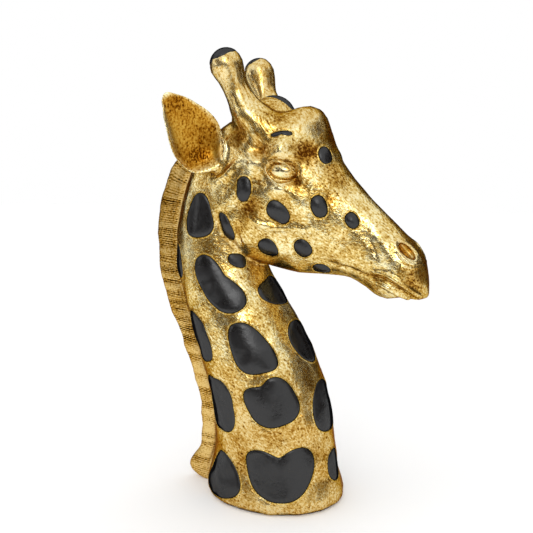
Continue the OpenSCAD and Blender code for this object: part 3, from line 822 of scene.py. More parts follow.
@dataclass
class Ear:
    """The left ear: a leaf with a deep bowl that faces forward and out.

    A row is a place along the ear, then the leaf's middle, half width, bulge, thickness and how far back
    its edges lie there. sweep tips the ear back and turn swings it out.
    """

    length: float = 88.0
    rim: float = 1.0
    rows: tuple[Row, ...] = (
        (-6, 15, 7, 6, 12, 9), (-3, 14, 9, 7, 13, 6), (0, 9, 13, 8, 11, 2), (5, 6, 18, 10, 6, 0),
        (14, 6, 23.5, 13, 5, 0), (26, 6, 27, 14, 5, 0), (40, 7, 27.5, 13, 5, 0), (54, 6.5, 24, 11, 5, 0),
        (66, 4, 19, 8, 4.5, 0), (76, 2, 13.5, 5.5, 4, 0), (83, -1, 8.5, 3.5, 3.5, 0), (88, -2, 3, 2, 3, 0))
    foot: Row = (-6.5, 56.0, -12.5)
    sweep: float = math.radians(24)
    turn: float = math.radians(33)

    def frame(self, head: HeadForm) -> tuple[Array, Array]:
        """The ear's place on the head.

        Args:
            head: The head that it grows from.

        Returns:
            Its own axes as rows, and its foot.
        """
        cy, sy = math.cos(-self.sweep), math.sin(-self.sweep)
        cz, sz = math.cos(-self.turn), math.sin(-self.turn)
        turn_y = np.array([[cy, 0, sy], [0, 1, 0], [-sy, 0, cy]])
        turn_z = np.array([[cz, -sz, 0], [sz, cz, 0], [0, 0, 1]])
        flip = np.diag([1.0, -1.0, 1.0])
        return (turn_z @ turn_y @ flip).T, head.place(*(np.float64(v) for v in self.foot))

    def shell(self, head: HeadForm) -> tuple[Array, list[Face]]:
        """The leaf's closed surface.

        Args:
            head: The head that the ear grows from.

        Returns:
            Points and faces, in the bust's axes.
        """
        axes, foot = self.frame(head)
        profile = Profile(self.rows, round_off=1.2)
        half_n = 22
        inner = np.linspace(0, math.pi, half_n)
        outer = inner[::-1]
        rings = []
        for along in np.linspace(self.rows[0][0], self.rows[-1][0], 64):
            mid, half, bulge, thick, back = (float(profile.at(along, c)) for c in range(1, 6))
            sides = ((outer, back + self.rim, bulge), (inner, back - self.rim, bulge - thick + 2 * self.rim))
            rings.extend(np.stack([mid + half * np.cos(a), level + cup * np.sin(a), 0 * a + along], 1)
                         for a, level, cup in sides)
        around = 2 * half_n
        local = np.vstack(rings)
        first, last = len(local), len(local) + 1
        faces = band_faces(first // around, around)
        faces += [(first, (j + 1) % around, j) for j in range(around)]
        end = first - around
        faces += [(last, end + j, end + (j + 1) % around) for j in range(around)]
        tip = local[-around:].mean(0) + [0, 0, 1.0]
        return np.vstack([local, local[:around].mean(0), tip]) @ axes + foot, faces

    def grow(self, body: Field, head: HeadForm, blend: float) -> None:
        """Adds the ear to the body.

        Args:
            body: The body's field.
            head: The head that the ear grows from.
            blend: How far its root is melted into the head.
        """
        points, faces = self.shell(head)
        where, (x, y, z) = body.block((-108, 22, 340), (-20, 90, 452))
        corner = np.array([x[0, 0, 0], y[0, 0, 0], z[0, 0, 0]])
        tris = np.array([t for f in faces for t in (f[:3], f[:1] + f[2:]) if len(t) == 3], np.uint32)
        grid = openvdb.FloatGrid.createLevelSetFromPolygons(
            ((points - corner) / body.cube).astype(np.float32), triangles=tris, halfWidth=9.0)
        values = np.full(body.values[where].shape, 9.0, np.float32)
        grid.copyToArray(values)
        body.join(where, values * body.cube, blend)

    def bowl(self, head: HeadForm, points: Array) -> Array:
        """How deep in an ear's bowl points lie.

        Args:
            head: The head that the ears grow from.
            points: Points on either side, one a row.

        Returns:
            For each, 0 outside the bowl to 1 inside it.
        """
        axes, foot = self.frame(head)
        p = np.array(points)
        p[:, 1] = np.abs(p[:, 1])
        local = (p - foot) @ axes.T
        profile = Profile(self.rows, round_off=1.2)
        mid, half, bulge, thick = (profile.at(local[:, 2], c) for c in (1, 2, 3, 4))
        across = (local[:, 0] - mid) / half
        inside = soft_step(1.0 - np.abs(across), 0.02, 0.22) * soft_step(local[:, 2], -2, 10)
        front = np.sqrt(np.maximum(1 - across ** 2, 0)) * (bulge - thick / 2)
        return inside * soft_step(front - local[:, 1], -1.0, 0.6) * soft_step(self.length - local[:, 2], 1, 6)


class Ground(Enum):
    """What an inlay is let into: it sets which form carries the outline, and the CAD node's name."""

    NECK = "neck"
    HEAD = "head"
    CROWN = "crown"


@dataclass(frozen=True)
class Spot:
    """One black inlay, and its twin on the other side.

    place is the height on the neck or the distance along the head. turn is the degrees from the front of
    the neck or up from the head's widest line. wide and high are half sizes. A notch pulls the outline in,
    or out if it is negative, at the angle notch_at. taper narrows the top and square squares the corners.
    """

    name: str
    ground: Ground
    place: float
    turn: float
    wide: float
    high: float
    lean: float = 0.0
    notch: float = 0.0
    notch_at: float = 0.0
    taper: float = 0.0
    square: float = 2.3

    def radius(self, t: Array) -> Array:
        """The outline of the spot.

        Args:
            t: Angles round its middle, in degrees.

        Returns:
            How far the outline lies from the middle at each of them.
        """
        a = np.radians(t - self.lean)
        across, up = np.abs(np.cos(a)), np.abs(np.sin(a))
        out = np.zeros_like(a)
        for _ in range(5):
            wide = self.wide * (1 - self.taper * np.clip(out * np.sin(a) / self.high, -1, 1))
            out = ((across / wide) ** self.square + (up / self.high) ** self.square) ** (-1 / self.square)
        return out * (1 - self.notch * np.maximum(0, np.cos(np.radians(t - self.notch_at))) ** 4)

    def nodes(self) -> list[str]:
        """The CAD nodes of the inlay and its twin, right before left."""
        stem = f"{self.ground.value}_spot_{self.name}"
        return [stem] if self.alone() else [f"{stem}_right", f"{stem}_left"]

    def alone(self) -> bool:
        """Whether the spot sits on the middle of the bust and has no twin."""
        return self.ground is not Ground.HEAD and self.turn == 0


NECK_SPOTS = tuple(Spot(row[0], Ground.NECK, *row[1:]) for row in (
    ("front_1", 43, 0, 15, 17), ("front_2", 108, 0, 25, 27, 0, 0, 0, 0.2, 2.6),
    ("front_3", 178, 0, 23.5, 20, 0, -0.2, 270), ("front_4", 228, 0, 29, 13, 0, -0.3, 90),
    ("side_1", 46, 64, 37, 31, 2, 0.5, 96, -0.26, 2.4),
    ("side_2", 120, 65.5, 29.5, 26, 18, 0.34, 116, 0, 2.6),
    ("side_3", 173, 69, 23, 27, 9, 0.1, 288, 0.2, 2.6),
    ("side_4", 240, 79, 22, 31, 27, 0.3, 32, 0.22, 2.4),
    ("throat", 264, 46, 10, 8, -20, 0.2, 100), ("back_1", 31, 125, 28, 25, 10, 0, 0, 0.4),
    ("back_2", 108, 126, 24, 29, -4, 0, 0, 0, 3.2), ("back_3", 179, 132, 21, 27, 12, 0, 0, -0.1, 2.6),
    ("back_4", 259, 144, 13, 19), ("back_5", 310, 95, 17, 23, 6, -0.1, 100, 0.25)))
HEAD_SPOTS = tuple(Spot(row[0], Ground.HEAD, *row[1:]) for row in (
    ("ear", 38, -25, 8.5, 14, 24, 0.1, 200), ("cheek", 82, -29, 13, 10),
    ("muzzle_1", 115.5, 15, 10, 9, -35), ("muzzle_2", 150, 33, 8, 7, -15),
    ("brow", 92.5, 67, 7.2, 9, -15), ("eyebrow", 48, 45.5, 11, 3.5, 31, 0.6, 301),
    ("jaw_1", 36, -59, 7.5, 17, 43), ("jaw_2", 86, -63, 10, 12, 40, 0.1, 290),
    ("jaw_3", 119, -49, 10, 9, -35), ("chin", 143, -69, 9, 8.5, 4)))
CROWN_SPOT = Spot("crown", Ground.CROWN, 12, 0, 21, 7.5)
SPOTS = NECK_SPOTS + HEAD_SPOTS + (CROWN_SPOT,)


@dataclass
class Inlays:
    """The black inlays, the pockets that take them and the rolled gold lips round them.

    The neck's large inlays rise by dome, and the small ones on the head and crown like buttons.
    """

    neck: NeckForm
    head: HeadForm
    deep: float = 2.2
    dome: float = 1.3
    button_dome: float = 2.4
    lip_rise: float = 0.3
    lip_wide: float = 1.6
    crown_high: float = 84.0

    def outline(self, spot: Spot, share: float, more: float, around: int) -> Array:
        """A closed loop of points on the plain form.

        Args:
            spot: The spot.
            share: 1 for its outline, less for a loop inside it.
            more: How far the outline is grown first.
            around: How many points the loop has.

        Returns:
            The points, one a row.
        """
        t = np.linspace(0, 360, around, endpoint=False)
        r = share * (spot.radius(t) + more)
        a = np.radians(t)
        if spot.ground is Ground.NECK:
            girth = self.neck.girth(spot.place, spot.turn)
            return self.neck.at(spot.place + r * np.sin(a), spot.turn - r * np.cos(a) / girth)
        if spot.ground is Ground.CROWN:
            return self.head.place(spot.place + r * np.cos(a), r * np.sin(a), self.crown_high - 0.012 * r * r)
        girth = self.head.girth(spot.place, spot.turn)
        return self.head.at(spot.place + r * np.cos(a), spot.turn + r * np.sin(a) / girth)

    def pocket(self, body: Field, skin: Field, spot: Spot) -> None:
        """Sinks the pocket of a spot.

        Args:
            body: The body's field without pockets, from which the depth is measured.
            skin: The field that is cut.
            spot: The spot.
        """
        loop = self.outline(spot, 1.0, 4.0, 40)
        where, (x, y, z) = skin.block(loop.min(0) - 5, loop.max(0) + 5)
        if spot.ground is Ground.NECK:
            up = z - spot.place
            side = (spot.turn - self.neck.turn_of(x, y, z)) * self.neck.girth(spot.place, spot.turn)
        elif spot.ground is Ground.CROWN:
            side, up = self.head.axes(x, z)[0] - spot.place, y
        else:
            s, h = self.head.axes(x, z)
            side = s - spot.place
            up = (self.head.turn_of(s, y, h) - spot.turn) * self.head.girth(spot.place, spot.turn)
        out = np.sqrt(up * up + side * side)
        edge = out - spot.radius(np.degrees(np.arctan2(up, side)))
        near = np.maximum(edge - 0.2, -(body.values[where] + self.deep))
        skin.cut(where, near.astype(np.float32), 0.5)

    def strip(self, body: Field, spot: Spot, steps: Sequence[tuple[float, float]], around: int) -> Array:
        """Loops round a spot, seated on the body.

        Args:
            body: The body's field.
            spot: The spot.
            steps: For each loop how far it is grown past the outline and raised above the body.
            around: How many points a loop has.

        Returns:
            The points, one a row.
        """
        loops = []
        for more, rise in steps:
            p = body.seat(self.outline(spot, 1.0, more, around))
            loops.append(p + rise * body.normal(p, 2.0))
        return np.vstack(loops)

    def around(self, spot: Spot) -> int:
        """How many points a spot's outline gets, about two millimetres apart."""
        return int(np.clip(math.pi * (spot.wide + spot.high) / 1.9, 30, 110))

    def lip(self, body: Field, spot: Spot) -> tuple[Array, list[Face]]:
        """The soft rolled edge of the gilding round a spot.

        Args:
            body: The body's field.
            spot: The spot.

        Returns:
            Points and faces.
        """
        n = self.around(spot)
        w, r = self.lip_wide, self.lip_rise
        steps = ((w + 0.8, -0.35), (w, -0.02), (0.72 * w, 0.5 * r), (0.45 * w, 0.95 * r), (0.25 * w, r),
                 (0.1 * w, 0.6 * r), (0.0, -0.2), (-0.1, -1.5))
        return self.strip(body, spot, steps, n), band_faces(len(steps), n)

    def stone(self, body: Field, spot: Spot) -> tuple[Array, list[Face]]:
        """The black filling of a spot, a flat dome with a rounded edge.

        Args:
            body: The body's field.
            spot: The spot.

        Returns:
            Points and faces.
        """
        n = self.around(spot)
        edge = ((-0.35, -1.9), (-0.4, -0.5), (-0.6, -0.05), (-1.1, 0.3))
        inset, low = edge[-1]
        loops = [self.strip(body, spot, edge, n)]
        shares = (0.86, 0.7, 0.5, 0.28, 0.1)
        button = min(self.button_dome, 0.3 * min(spot.wide, spot.high))
        dome = self.dome if spot.ground is Ground.NECK else button
        for share in shares:
            p = body.seat(self.outline(spot, share, inset, n))
            loops.append(p + (low + (dome - low) * (1 - share ** 2)) * body.normal(p, 2.5))
        points = np.vstack(loops)
        return points, band_faces(len(edge) + len(shares), n) + [tuple(range(len(points) - n, len(points)))]


@dataclass
class Mane:
    """The mane along the neck's back, carved with fine ribs and a wavy free edge.

    A row is a height on the neck's back, how far the mane reaches out there and how much higher its edge
    lies. A row of section is a share of the reach and the half width of the root's tongue there, or None
    where the blade's own thickness holds.
    """

    neck: NeckForm
    rib: float = 2.4
    rib_deep: float = 0.75
    rib_slant: float = 0.35
    root_thick: float = 17.0
    edge_thick: float = 10.0
    rows: tuple[Row, ...] = (
        (0.5, 17, 0), (2.5, 24.5, 0), (6, 29, 0), (11, 31.5, 0), (17, 32, 0), (25, 30, 0), (38, 25, 0),
        (55, 25, 0), (75, 24, 0), (105, 24, 0), (120, 26, 0), (140, 27, 0), (160, 27, 0), (180, 29.5, 0),
        (200, 31.5, 0), (222, 32.5, 0), (250, 32, 0), (275, 31.5, 0), (300, 32, 0), (320, 33, 1),
        (335, 31, 5), (348, 28.5, 9.5), (360, 23, 14), (370, 16, 17.5), (379, 10, 18), (386, 5, 16))
    section: tuple[tuple[float, float | None], ...] = (
        (-2.4, 4.4), (0.10, 4.5), (0.16, None), (0.30, None), (0.48, None), (0.66, None), (0.82, None),
        (0.92, None), (0.98, None), (1.0, None))

    def thickness(self, share: float) -> float:
        """Half the blade's thickness, waisted at its foot and rounded at its free edge.

        Args:
            share: The place across the mane, from 0 at the root to 1 at the edge.

        Returns:
            Half the thickness there.
        """
        foot = 0.16
        w = self.root_thick / 2 + (self.edge_thick - self.root_thick) / 2 * (share - foot) / (1 - foot)
        w *= math.sqrt(max(0.0, 1 - max(0.0, (share - 0.72) / 0.285) ** 2.4))
        return w * min(1.0, 0.72 + 1.4 * (share - foot)) if share < 0.36 else w

    def build(self, seed: int) -> tuple[Array, list[Face], dict[str, Array]]:
        """The mane's mesh.

        Args:
            seed: Sets the small irregularities of the ribs.

        Returns:
            Points, faces and the marks that its finish reads.
        """
        rng = np.random.default_rng(seed)
        profile = Profile(self.rows, round_off=3.0)
        z = np.arange(0.6, self.rows[-1][0], 0.55)
        root = self.neck.at(z, np.full_like(z, 180.0))
        edge = root + np.stack([-profile.at(z, 1), 0 * z, profile.at(z, 2)], 1)
        reach = np.linalg.norm(edge - root, axis=1)
        out = (edge - root) / reach[:, None]
        knots = rng.uniform(-1, 1, 260)

        def drift(gap: float, shift: int) -> Array:
            """The knots as a line along the mane, gap millimetres apart."""
            return np.interp(z, np.arange(len(knots)) * gap, np.roll(knots, shift))

        phase = 2 * math.pi * (z + 1.3 * drift(7.0, 31)) / self.rib
        wave = 1.5 * drift(13.0, 7) + 0.2 * drift(1.55, 0)
        rough = 0.66 + 0.5 * drift(4.0, 53)
        rings, across = [], []
        for i in range(len(z)):
            half = []
            for share, tongue in self.section:
                if tongue is None:
                    slant = 2 * math.pi * self.rib_slant * share * reach[i] / self.rib
                    carve = self.rib_deep * (0.5 + 0.5 * math.sin(phase[i] + slant)) * rough[i]
                    width = max(self.thickness(share) - carve, 0.15)
                    half.append((share * (reach[i] + wave[i] * share), width, carve))
                else:
                    half.append((share if share < 0 else share * reach[i], tongue, 0.0))
            for side, row in ((1, half), (-1, half[::-1])):
                for far, w, carve in row:
                    rings.append(root[i] + out[i] * far + np.array([0, side * w, 0]))
                    across.append((far / reach[i], carve))
        around = 2 * len(self.section)
        points = np.array(rings)
        faces = band_faces(len(z), around)
        faces.append(tuple(range(around))[::-1])
        faces.append(tuple(range(len(points) - around, len(points))))
        along = np.repeat(np.cumsum(np.r_[0, np.linalg.norm(np.diff(edge, axis=0), axis=1)]), around)
        across = np.array(across)
        # Painted shade in the carved rib grooves, darker the deeper the cut, and lighter towards the bottom;
        # the whole mane gets half the amber of the painted warm shade.
        lighter_below = 0.6 + 0.35 * soft_step(-points[:, 2], -200, -120)
        marks = {"umber_and_shade": across[:, 1] / self.rib_deep * 2.1 - lighter_below,
                 "smooth_amber_shade": np.full(len(points), 0.5),
                 "grain": np.stack([along, across[:, 0] * 30, points[:, 1]], 1) * MM}
        return points, faces, marks


def add(tree: bpy.types.NodeTree, kind: str, links: dict[str, Any] | None = None,
        **settings: Any) -> bpy.types.Node:
    """Adds a node to a material or world.

    Args:
        tree: The node tree.
        kind: The node's type without its ShaderNode prefix.
        links: For each input, by name or number, a value or the output socket that feeds it.
        **settings: The node's own properties.

    Returns:
        The new node.
    """
    node = tree.nodes.new("ShaderNode" + kind)
    for name, value in settings.items():
        setattr(node, name, value)
    for name, value in (links or {}).items():
        socket = node.inputs[int(name) if name.isdigit() else name]
        if isinstance(value, Socket):
            tree.links.new(value, socket)
        else:
            socket.default_value = value
    return node


def blank(name: str) -> bpy.types.Material:
    """A new material.

    Args:
        name: Its name.

    Returns:
        The material, with no nodes yet.
    """
    mat = bpy.data.materials.new(name)
    mat.use_nodes = True
    mat.node_tree.nodes.clear()
    return mat


def ramp(tree: bpy.types.NodeTree, factor: Socket, stops: Sequence[tuple[float, str]]) -> Socket:
    """Turns a value to a colour between a few.

    Args:
        tree: The node tree.
        factor: The value.
        stops: For each colour its place and its hex value.

    Returns:
        The socket that gives the colour.
    """
    node = add(tree, "ValToRGB", {"Fac": factor})
    band = node.color_ramp
    while len(band.elements) < len(stops):
        band.elements.new(0.5)
    for element, (place, colour) in zip(band.elements, stops):
        element.position, element.color = place, linear(colour)
    return node.outputs["Color"]


def per_metre(size_mm: float) -> float:
    """The scale of a noise texture whose patches are size_mm across."""
    return 1.0 / (size_mm * MM)


@dataclass(frozen=True)
class GoldLeaf:
    """Loose gold leaf laid over cast resin, rubbed back and toned with an umber wash.

    The leaf creases as it is laid, so the eye meets small bright facets. The umber wash shows as dark flecks
    on worn patches, partly real wear and partly painted shade, and the same mask paints shade into hollows
    and creases. The gold is multiplied to amber as painted warm shade and bounced light in hollows and where
    two surfaces shine on each other. Flecks and brush strokes are finer on the real leaf, and are drawn two
    millimetres across so that they show.
    """

    name: str = "distressed_gold_leaf"
    crease_mm: float = 4.5
    fleck_mm: float = 2.2
    stroke_mm: float = 1.9
    patch_mm: float = 24.0
    bright: str = "#FFF4C2"
    pale: str = "#EBD084"
    gold: str = "#C0963F"
    deep: str = "#7C4E12"
    umber: str = "#54310E"
    # Multiplied in as painted warm shade and bounced light.
    amber: str = "#D2AD5E"
    edge: str = "#8A5F24"
    roughness: float = 0.21
    relief_mm: float = 0.35

    def build(self) -> bpy.types.Material:
        """Makes the finish.

        Returns:
            Its material.
        """
        mat = blank(self.name)
        tree = mat.node_tree
        place = add(tree, "TexCoord").outputs["Object"]
        grain = add(tree, "Attribute", attribute_name="grain").outputs["Vector"]
        umber_and_shade = add(tree, "Attribute", attribute_name="umber_and_shade").outputs["Fac"]
        smooth_amber_shade = add(tree, "Attribute", attribute_name="smooth_amber_shade").outputs["Fac"]
        patch = add(tree, "TexNoise", {"Vector": place, "Scale": per_metre(self.patch_mm),
                                       "Detail": 2.0}).outputs["Fac"]
        crease = add(tree, "TexNoise", {"Vector": place, "Scale": per_metre(self.crease_mm), "Detail": 4.0,
                                        "Roughness": 0.6, "Distortion": 0.5}).outputs["Fac"]
        fleck = add(tree, "TexNoise", {"Vector": place, "Scale": per_metre(self.fleck_mm), "Detail": 2.0,
                                       "Roughness": 0.75}).outputs["Fac"]
        stroke = add(tree, "TexNoise", {"Vector": grain, "Scale": per_metre(self.stroke_mm), "Detail": 2.0,
                                        "Roughness": 0.6}).outputs["Fac"]
        # The leaf's tone, from the umber and painted shade in it to its brightest facets.
        tone = add(tree, "Math", {"0": fleck, "1": 0.8, "2": stroke}, operation="MULTIPLY_ADD").outputs[0]
        tone = add(tree, "Math", {"0": patch, "1": 0.6, "2": tone}, operation="MULTIPLY_ADD").outputs[0]
        tone = add(tree, "Math", {"0": umber_and_shade, "1": -0.4, "2": tone}, operation="MULTIPLY_ADD").outputs[0]
        tone = add(tree, "MapRange", {"Value": tone, "From Min": 0.76, "From Max": 1.6}).outputs[0]
        leaf = ramp(tree, tone, ((0.12, self.deep), (0.36, self.gold), (0.58, self.pale), (0.8, self.bright)))
        # Where the leaf is rubbed through and the umber shows, spread further where shade is painted in.
        worn = add(tree, "Math", {"0": fleck, "1": -1.0, "2": 0.5}, operation="MULTIPLY_ADD").outputs[0]
        worn = add(tree, "Math", {"0": stroke, "1": -0.7, "2": worn}, operation="MULTIPLY_ADD").outputs[0]
        worn = add(tree, "Math", {"0": umber_and_shade, "1": 0.3, "2": worn}, operation="MULTIPLY_ADD").outputs[0]
        worn = add(tree, "MapRange", {"Value": worn, "From Min": -0.2, "From Max": -0.04}).outputs[0]
        toned = add(tree, "Mix", {"0": worn, "6": leaf, "7": linear(self.umber)}, data_type="RGBA").outputs[2]
        # Amber multiplied in as painted warm shade and bounced light.
        warm = add(tree, "Mix", {"0": smooth_amber_shade, "6": toned, "7": linear(self.amber)}, data_type="RGBA",
                   blend_type="MULTIPLY").outputs[2]
        rough = add(tree, "MapRange", {"Value": tone, "To Min": self.roughness + 0.10,
                                       "To Max": self.roughness - 0.06}).outputs[0]
        rough = add(tree, "Math", {"0": smooth_amber_shade, "1": 0.15, "2": rough}, operation="MULTIPLY_ADD").outputs[0]
        rough = add(tree, "Math", {"0": worn, "1": 0.2, "2": rough}, operation="MULTIPLY_ADD").outputs[0]
        metal = add(tree, "MapRange", {"Value": worn, "To Min": 1.0, "To Max": 0.2}).outputs[0]
        # The creases flatten where the leaf is rubbed smooth.
        relief = add(tree, "Math", {"0": stroke, "1": 0.8, "2": crease}, operation="MULTIPLY_ADD").outputs[0]
        crisp = add(tree, "MapRange", {"Value": smooth_amber_shade, "To Min": 1.0, "To Max": 0.1,
                                       "From Max": 0.7}).outputs[0]
        bump = add(tree, "Bump", {"Height": relief, "Distance": self.relief_mm * MM,
                                  "Strength": crisp}).outputs[0]
        # The tint browns the gold's edges, and the umber has no shine of its own.
        shader = add(tree, "BsdfPrincipled", {"Base Color": warm, "Metallic": metal, "Roughness": rough,
                                              "Normal": bump, "Specular IOR Level": 0.0,
                                              "Specular Tint": linear(self.edge)})
        add(tree, "OutputMaterial", {"Surface": shader.outputs[0]})
        return mat


@dataclass(frozen=True)
class BlackLacquer:
    """Black lacquer brushed on by hand and rubbed to satin.

    It gives a broad grey sheen and faint strokes. The sheen is held back where the surface turns from the
    eye, so that the rounded edges stay black.
    """

    name: str = "satin_black_lacquer"
    base: str = "#070708"
    worn: str = "#111113"
    roughness: float = 0.3
    cloud_mm: float = 14.0
    stroke_mm: float = 3.0
    relief_mm: float = 0.25
    sheen: float = 0.62

    def build(self) -> bpy.types.Material:
        """Makes the finish.

        Returns:
            Its material.
        """
        mat = blank(self.name)
        tree = mat.node_tree
        place = add(tree, "TexCoord").outputs["Object"]
        cloud = add(tree, "TexNoise", {"Vector": place, "Scale": per_metre(self.cloud_mm),
                                       "Detail": 4.0}).outputs["Fac"]
        fine = add(tree, "TexNoise", {"Vector": place, "Scale": per_metre(self.stroke_mm),
                                      "Detail": 3.0}).outputs["Fac"]
        colour = ramp(tree, cloud, ((0.3, self.base), (0.75, self.worn)))
        rough = add(tree, "MapRange", {"Value": cloud, "From Min": 0.3, "From Max": 0.7,
                                       "To Min": self.roughness - 0.06,
                                       "To Max": self.roughness + 0.06}).outputs[0]
        height = add(tree, "Math", {"0": cloud, "1": 5.0, "2": fine}, operation="MULTIPLY_ADD").outputs[0]
        bump = add(tree, "Bump", {"Height": height, "Distance": self.relief_mm * MM,
                                  "Strength": 0.55}).outputs[0]
        facing = add(tree, "LayerWeight").outputs["Facing"]
        sheen = add(tree, "MapRange", {"Value": facing, "From Min": 0.2, "From Max": 0.66,
                                       "To Min": self.sheen, "To Max": 0.0}).outputs[0]
        shader = add(tree, "BsdfPrincipled", {"Base Color": colour, "Roughness": rough, "Normal": bump,
                                              "Specular IOR Level": sheen})
        add(tree, "OutputMaterial", {"Surface": shader.outputs[0]})
        return mat


@dataclass(frozen=True)
class CastResin:
    """Bare tan casting resin under the foot, matt and faintly clouded as it left the mould."""

    name: str = "bare_cast_resin"
    pale: str = "#B9A27C"
    dark: str = "#8F7A58"
    cloud_mm: float = 20.0

    def build(self) -> bpy.types.Material:
        """Makes the finish.

        Returns:
            Its material.
        """
        mat = blank(self.name)
        tree = mat.node_tree
        place = add(tree, "TexCoord").outputs["Object"]
        cloud = add(tree, "TexNoise", {"Vector": place, "Scale": per_metre(self.cloud_mm),
                                       "Detail": 4.0}).outputs["Fac"]
        colour = ramp(tree, cloud, ((0.3, self.dark), (0.7, self.pale)))
        shader = add(tree, "BsdfPrincipled", {"Base Color": colour, "Roughness": 0.6})
        add(tree, "OutputMaterial", {"Surface": shader.outputs[0]})
        return mat


@dataclass(frozen=True)
class WoolFelt:
    """Black pressed wool felt, which drinks the light and shows only its short fibres.

    Its fibres are drawn nearly a millimetre apart, coarser than they are, so that they show.
    """

    name: str = "black_wool_felt"
    dark: str = "#101011"
    fibre: str = "#2C2C2F"
    fibre_mm: float = 0.9

    def build(self) -> bpy.types.Material:
        """Makes the finish.

        Returns:
            Its material.
        """
        mat = blank(self.name)
        tree = mat.node_tree
        place = add(tree, "TexCoord").outputs["Object"]
        fibre = add(tree, "TexNoise", {"Vector": place, "Scale": per_metre(self.fibre_mm), "Detail": 3.0,
                                       "Distortion": 1.0}).outputs["Fac"]
        colour = ramp(tree, fibre, ((0.4, self.dark), (0.7, self.fibre)))
        bump = add(tree, "Bump", {"Height": fibre, "Distance": 0.3 * MM}).outputs[0]
        shader = add(tree, "BsdfPrincipled", {"Base Color": colour, "Roughness": 0.95, "Sheen Weight": 0.3,
                                              "Normal": bump})
        add(tree, "OutputMaterial", {"Surface": shader.outputs[0]})
        return mat


@dataclass(frozen=True)
class Studio:
    """The pale floor and backdrop, the dark cards, the lamps and the camera.

    A card is its direction from the bust and its width, in degrees, and its height in metres. A lamp is its
    name, its place, its size and its power, and all lamps shine at aim.
    """

    eye: Row = (0.328854, -0.729355, 0.356)
    heading: float = math.radians(25)
    pitch: float = math.radians(7.2)
    lens: float = 50.0
    card_far: float = 1.7
    cards: tuple[Row, ...] = ((-7, 18, 1.5), (22, 32, 1.5), (58, 32, 1.5), (94, 32, 1.5), (130, 32, 1.5),
                              (166, 32, 1.5), (207, 20, 1.5), (238, 32, 1.5), (268, 24, 1.0), (292, 20, 0.7))
    aim: Row = (0, 0, 0.25)
    lamps: tuple[tuple[str, Row, float, float], ...] = (
        ("key", (0.38, -1.5, 1.0), 0.6, 3.7), ("broad_fill", (0.35, -1.6, 0.9), 1.1, 0.8),
        ("side_fill", (-1.3, -0.6, 0.9), 0.5, 0.8), ("low_fill", (-1.1, -1.1, 0.6), 0.4, 0.7))

    def floor(self) -> None:
        """A large pale floor."""
        bpy.ops.mesh.primitive_plane_add(size=12)
        plane = bpy.context.object
        plane.name = "studio_floor"
        mat = blank("pale_paper")
        tree = mat.node_tree
        shader = add(tree, "BsdfPrincipled", {"Base Color": linear("#FFFFFF"), "Roughness": 1.0})
        add(tree, "OutputMaterial", {"Surface": shader.outputs[0]})
        plane.data.materials.append(mat)

    def flags(self) -> None:
        """Tall dark cards round the set, seen only in reflections, which give the leaf its shadow side."""
        mat = blank("black_card")
        tree = mat.node_tree
        shader = add(tree, "BsdfPrincipled", {"Base Color": linear("#38240A"), "Roughness": 0.9})
        add(tree, "OutputMaterial", {"Surface": shader.outputs[0]})
        for number, (turn, wide, high) in enumerate(self.cards):
            bpy.ops.mesh.primitive_plane_add(size=1)
            card = bpy.context.object
            card.name = f"dark_card_{number}"
            a = math.radians(turn)
            card.location = (self.card_far * math.cos(a), self.card_far * math.sin(a), high / 2)
            card.rotation_euler = (math.pi / 2, 0, a + math.pi / 2)
            card.scale = (2 * self.card_far * math.tan(math.radians(wide / 2)), high, 1)
            card.data.materials.append(mat)
            card.visible_camera = card.visible_diffuse = False
            card.visible_shadow = card.visible_transmission = False

    def world(self) -> None:
        """White to the camera and in reflections, and a touch brighter as light."""
        world = bpy.data.worlds.new("studio")
        bpy.context.scene.world = world
        world.use_nodes = True
        tree = world.node_tree
        tree.nodes.clear()
        path = add(tree, "LightPath")
        seen = add(tree, "Math", {"0": path.outputs["Is Camera Ray"], "1": path.outputs["Is Glossy Ray"]},
                   operation="MAXIMUM").outputs[0]
        seen = add(tree, "Math", {"0": seen, "1": path.outputs["Is Transmission Ray"]},
                   operation="MAXIMUM").outputs[0]
        strength = add(tree, "MapRange", {"Value": seen, "To Min": 1.03, "To Max": 1.0}).outputs[0]
        back = add(tree, "Background", {"Color": (1, 1, 1, 1), "Strength": strength})
        add(tree, "OutputWorld", {"Surface": back.outputs[0]})

    def lamp(self, name: str, place: Row, size: float, power: float) -> None:
        """A square soft box aimed at the bust.

        Args:
            name: The lamp's name.
            place: Where it stands, in metres.
            size: The edge of its square.
            power: Its power in watts.
        """
        data = bpy.data.lights.new(name, "AREA")
        data.size, data.energy = size, power
        lamp = bpy.data.objects.new(name, data)
        lamp.location = place
        lamp.rotation_euler = (Vector(self.aim) - Vector(place)).to_track_quat("-Z", "Y").to_euler()
        bpy.context.scene.collection.objects.link(lamp)

    def camera(self) -> None:
        """The camera, a little right of the bust's side and level with its eye."""
        data = bpy.data.cameras.new("camera")
        data.lens, data.sensor_width = self.lens, 36.0
        cam = bpy.data.objects.new("camera", data)
        ahead = Vector((-math.sin(self.heading) * math.cos(self.pitch),
                        math.cos(self.heading) * math.cos(self.pitch), -math.sin(self.pitch)))
        cam.location = self.eye
        cam.rotation_euler = ahead.to_track_quat("-Z", "Y").to_euler()
        bpy.context.scene.collection.objects.link(cam)
        bpy.context.scene.camera = cam

    def build(self) -> None:
        """Everything around the bust."""
        self.floor()
        self.flags()
        self.world()
        for row in self.lamps:
            self.lamp(*row)
        self.camera()
        bpy.context.scene.view_settings.view_transform = "Standard"


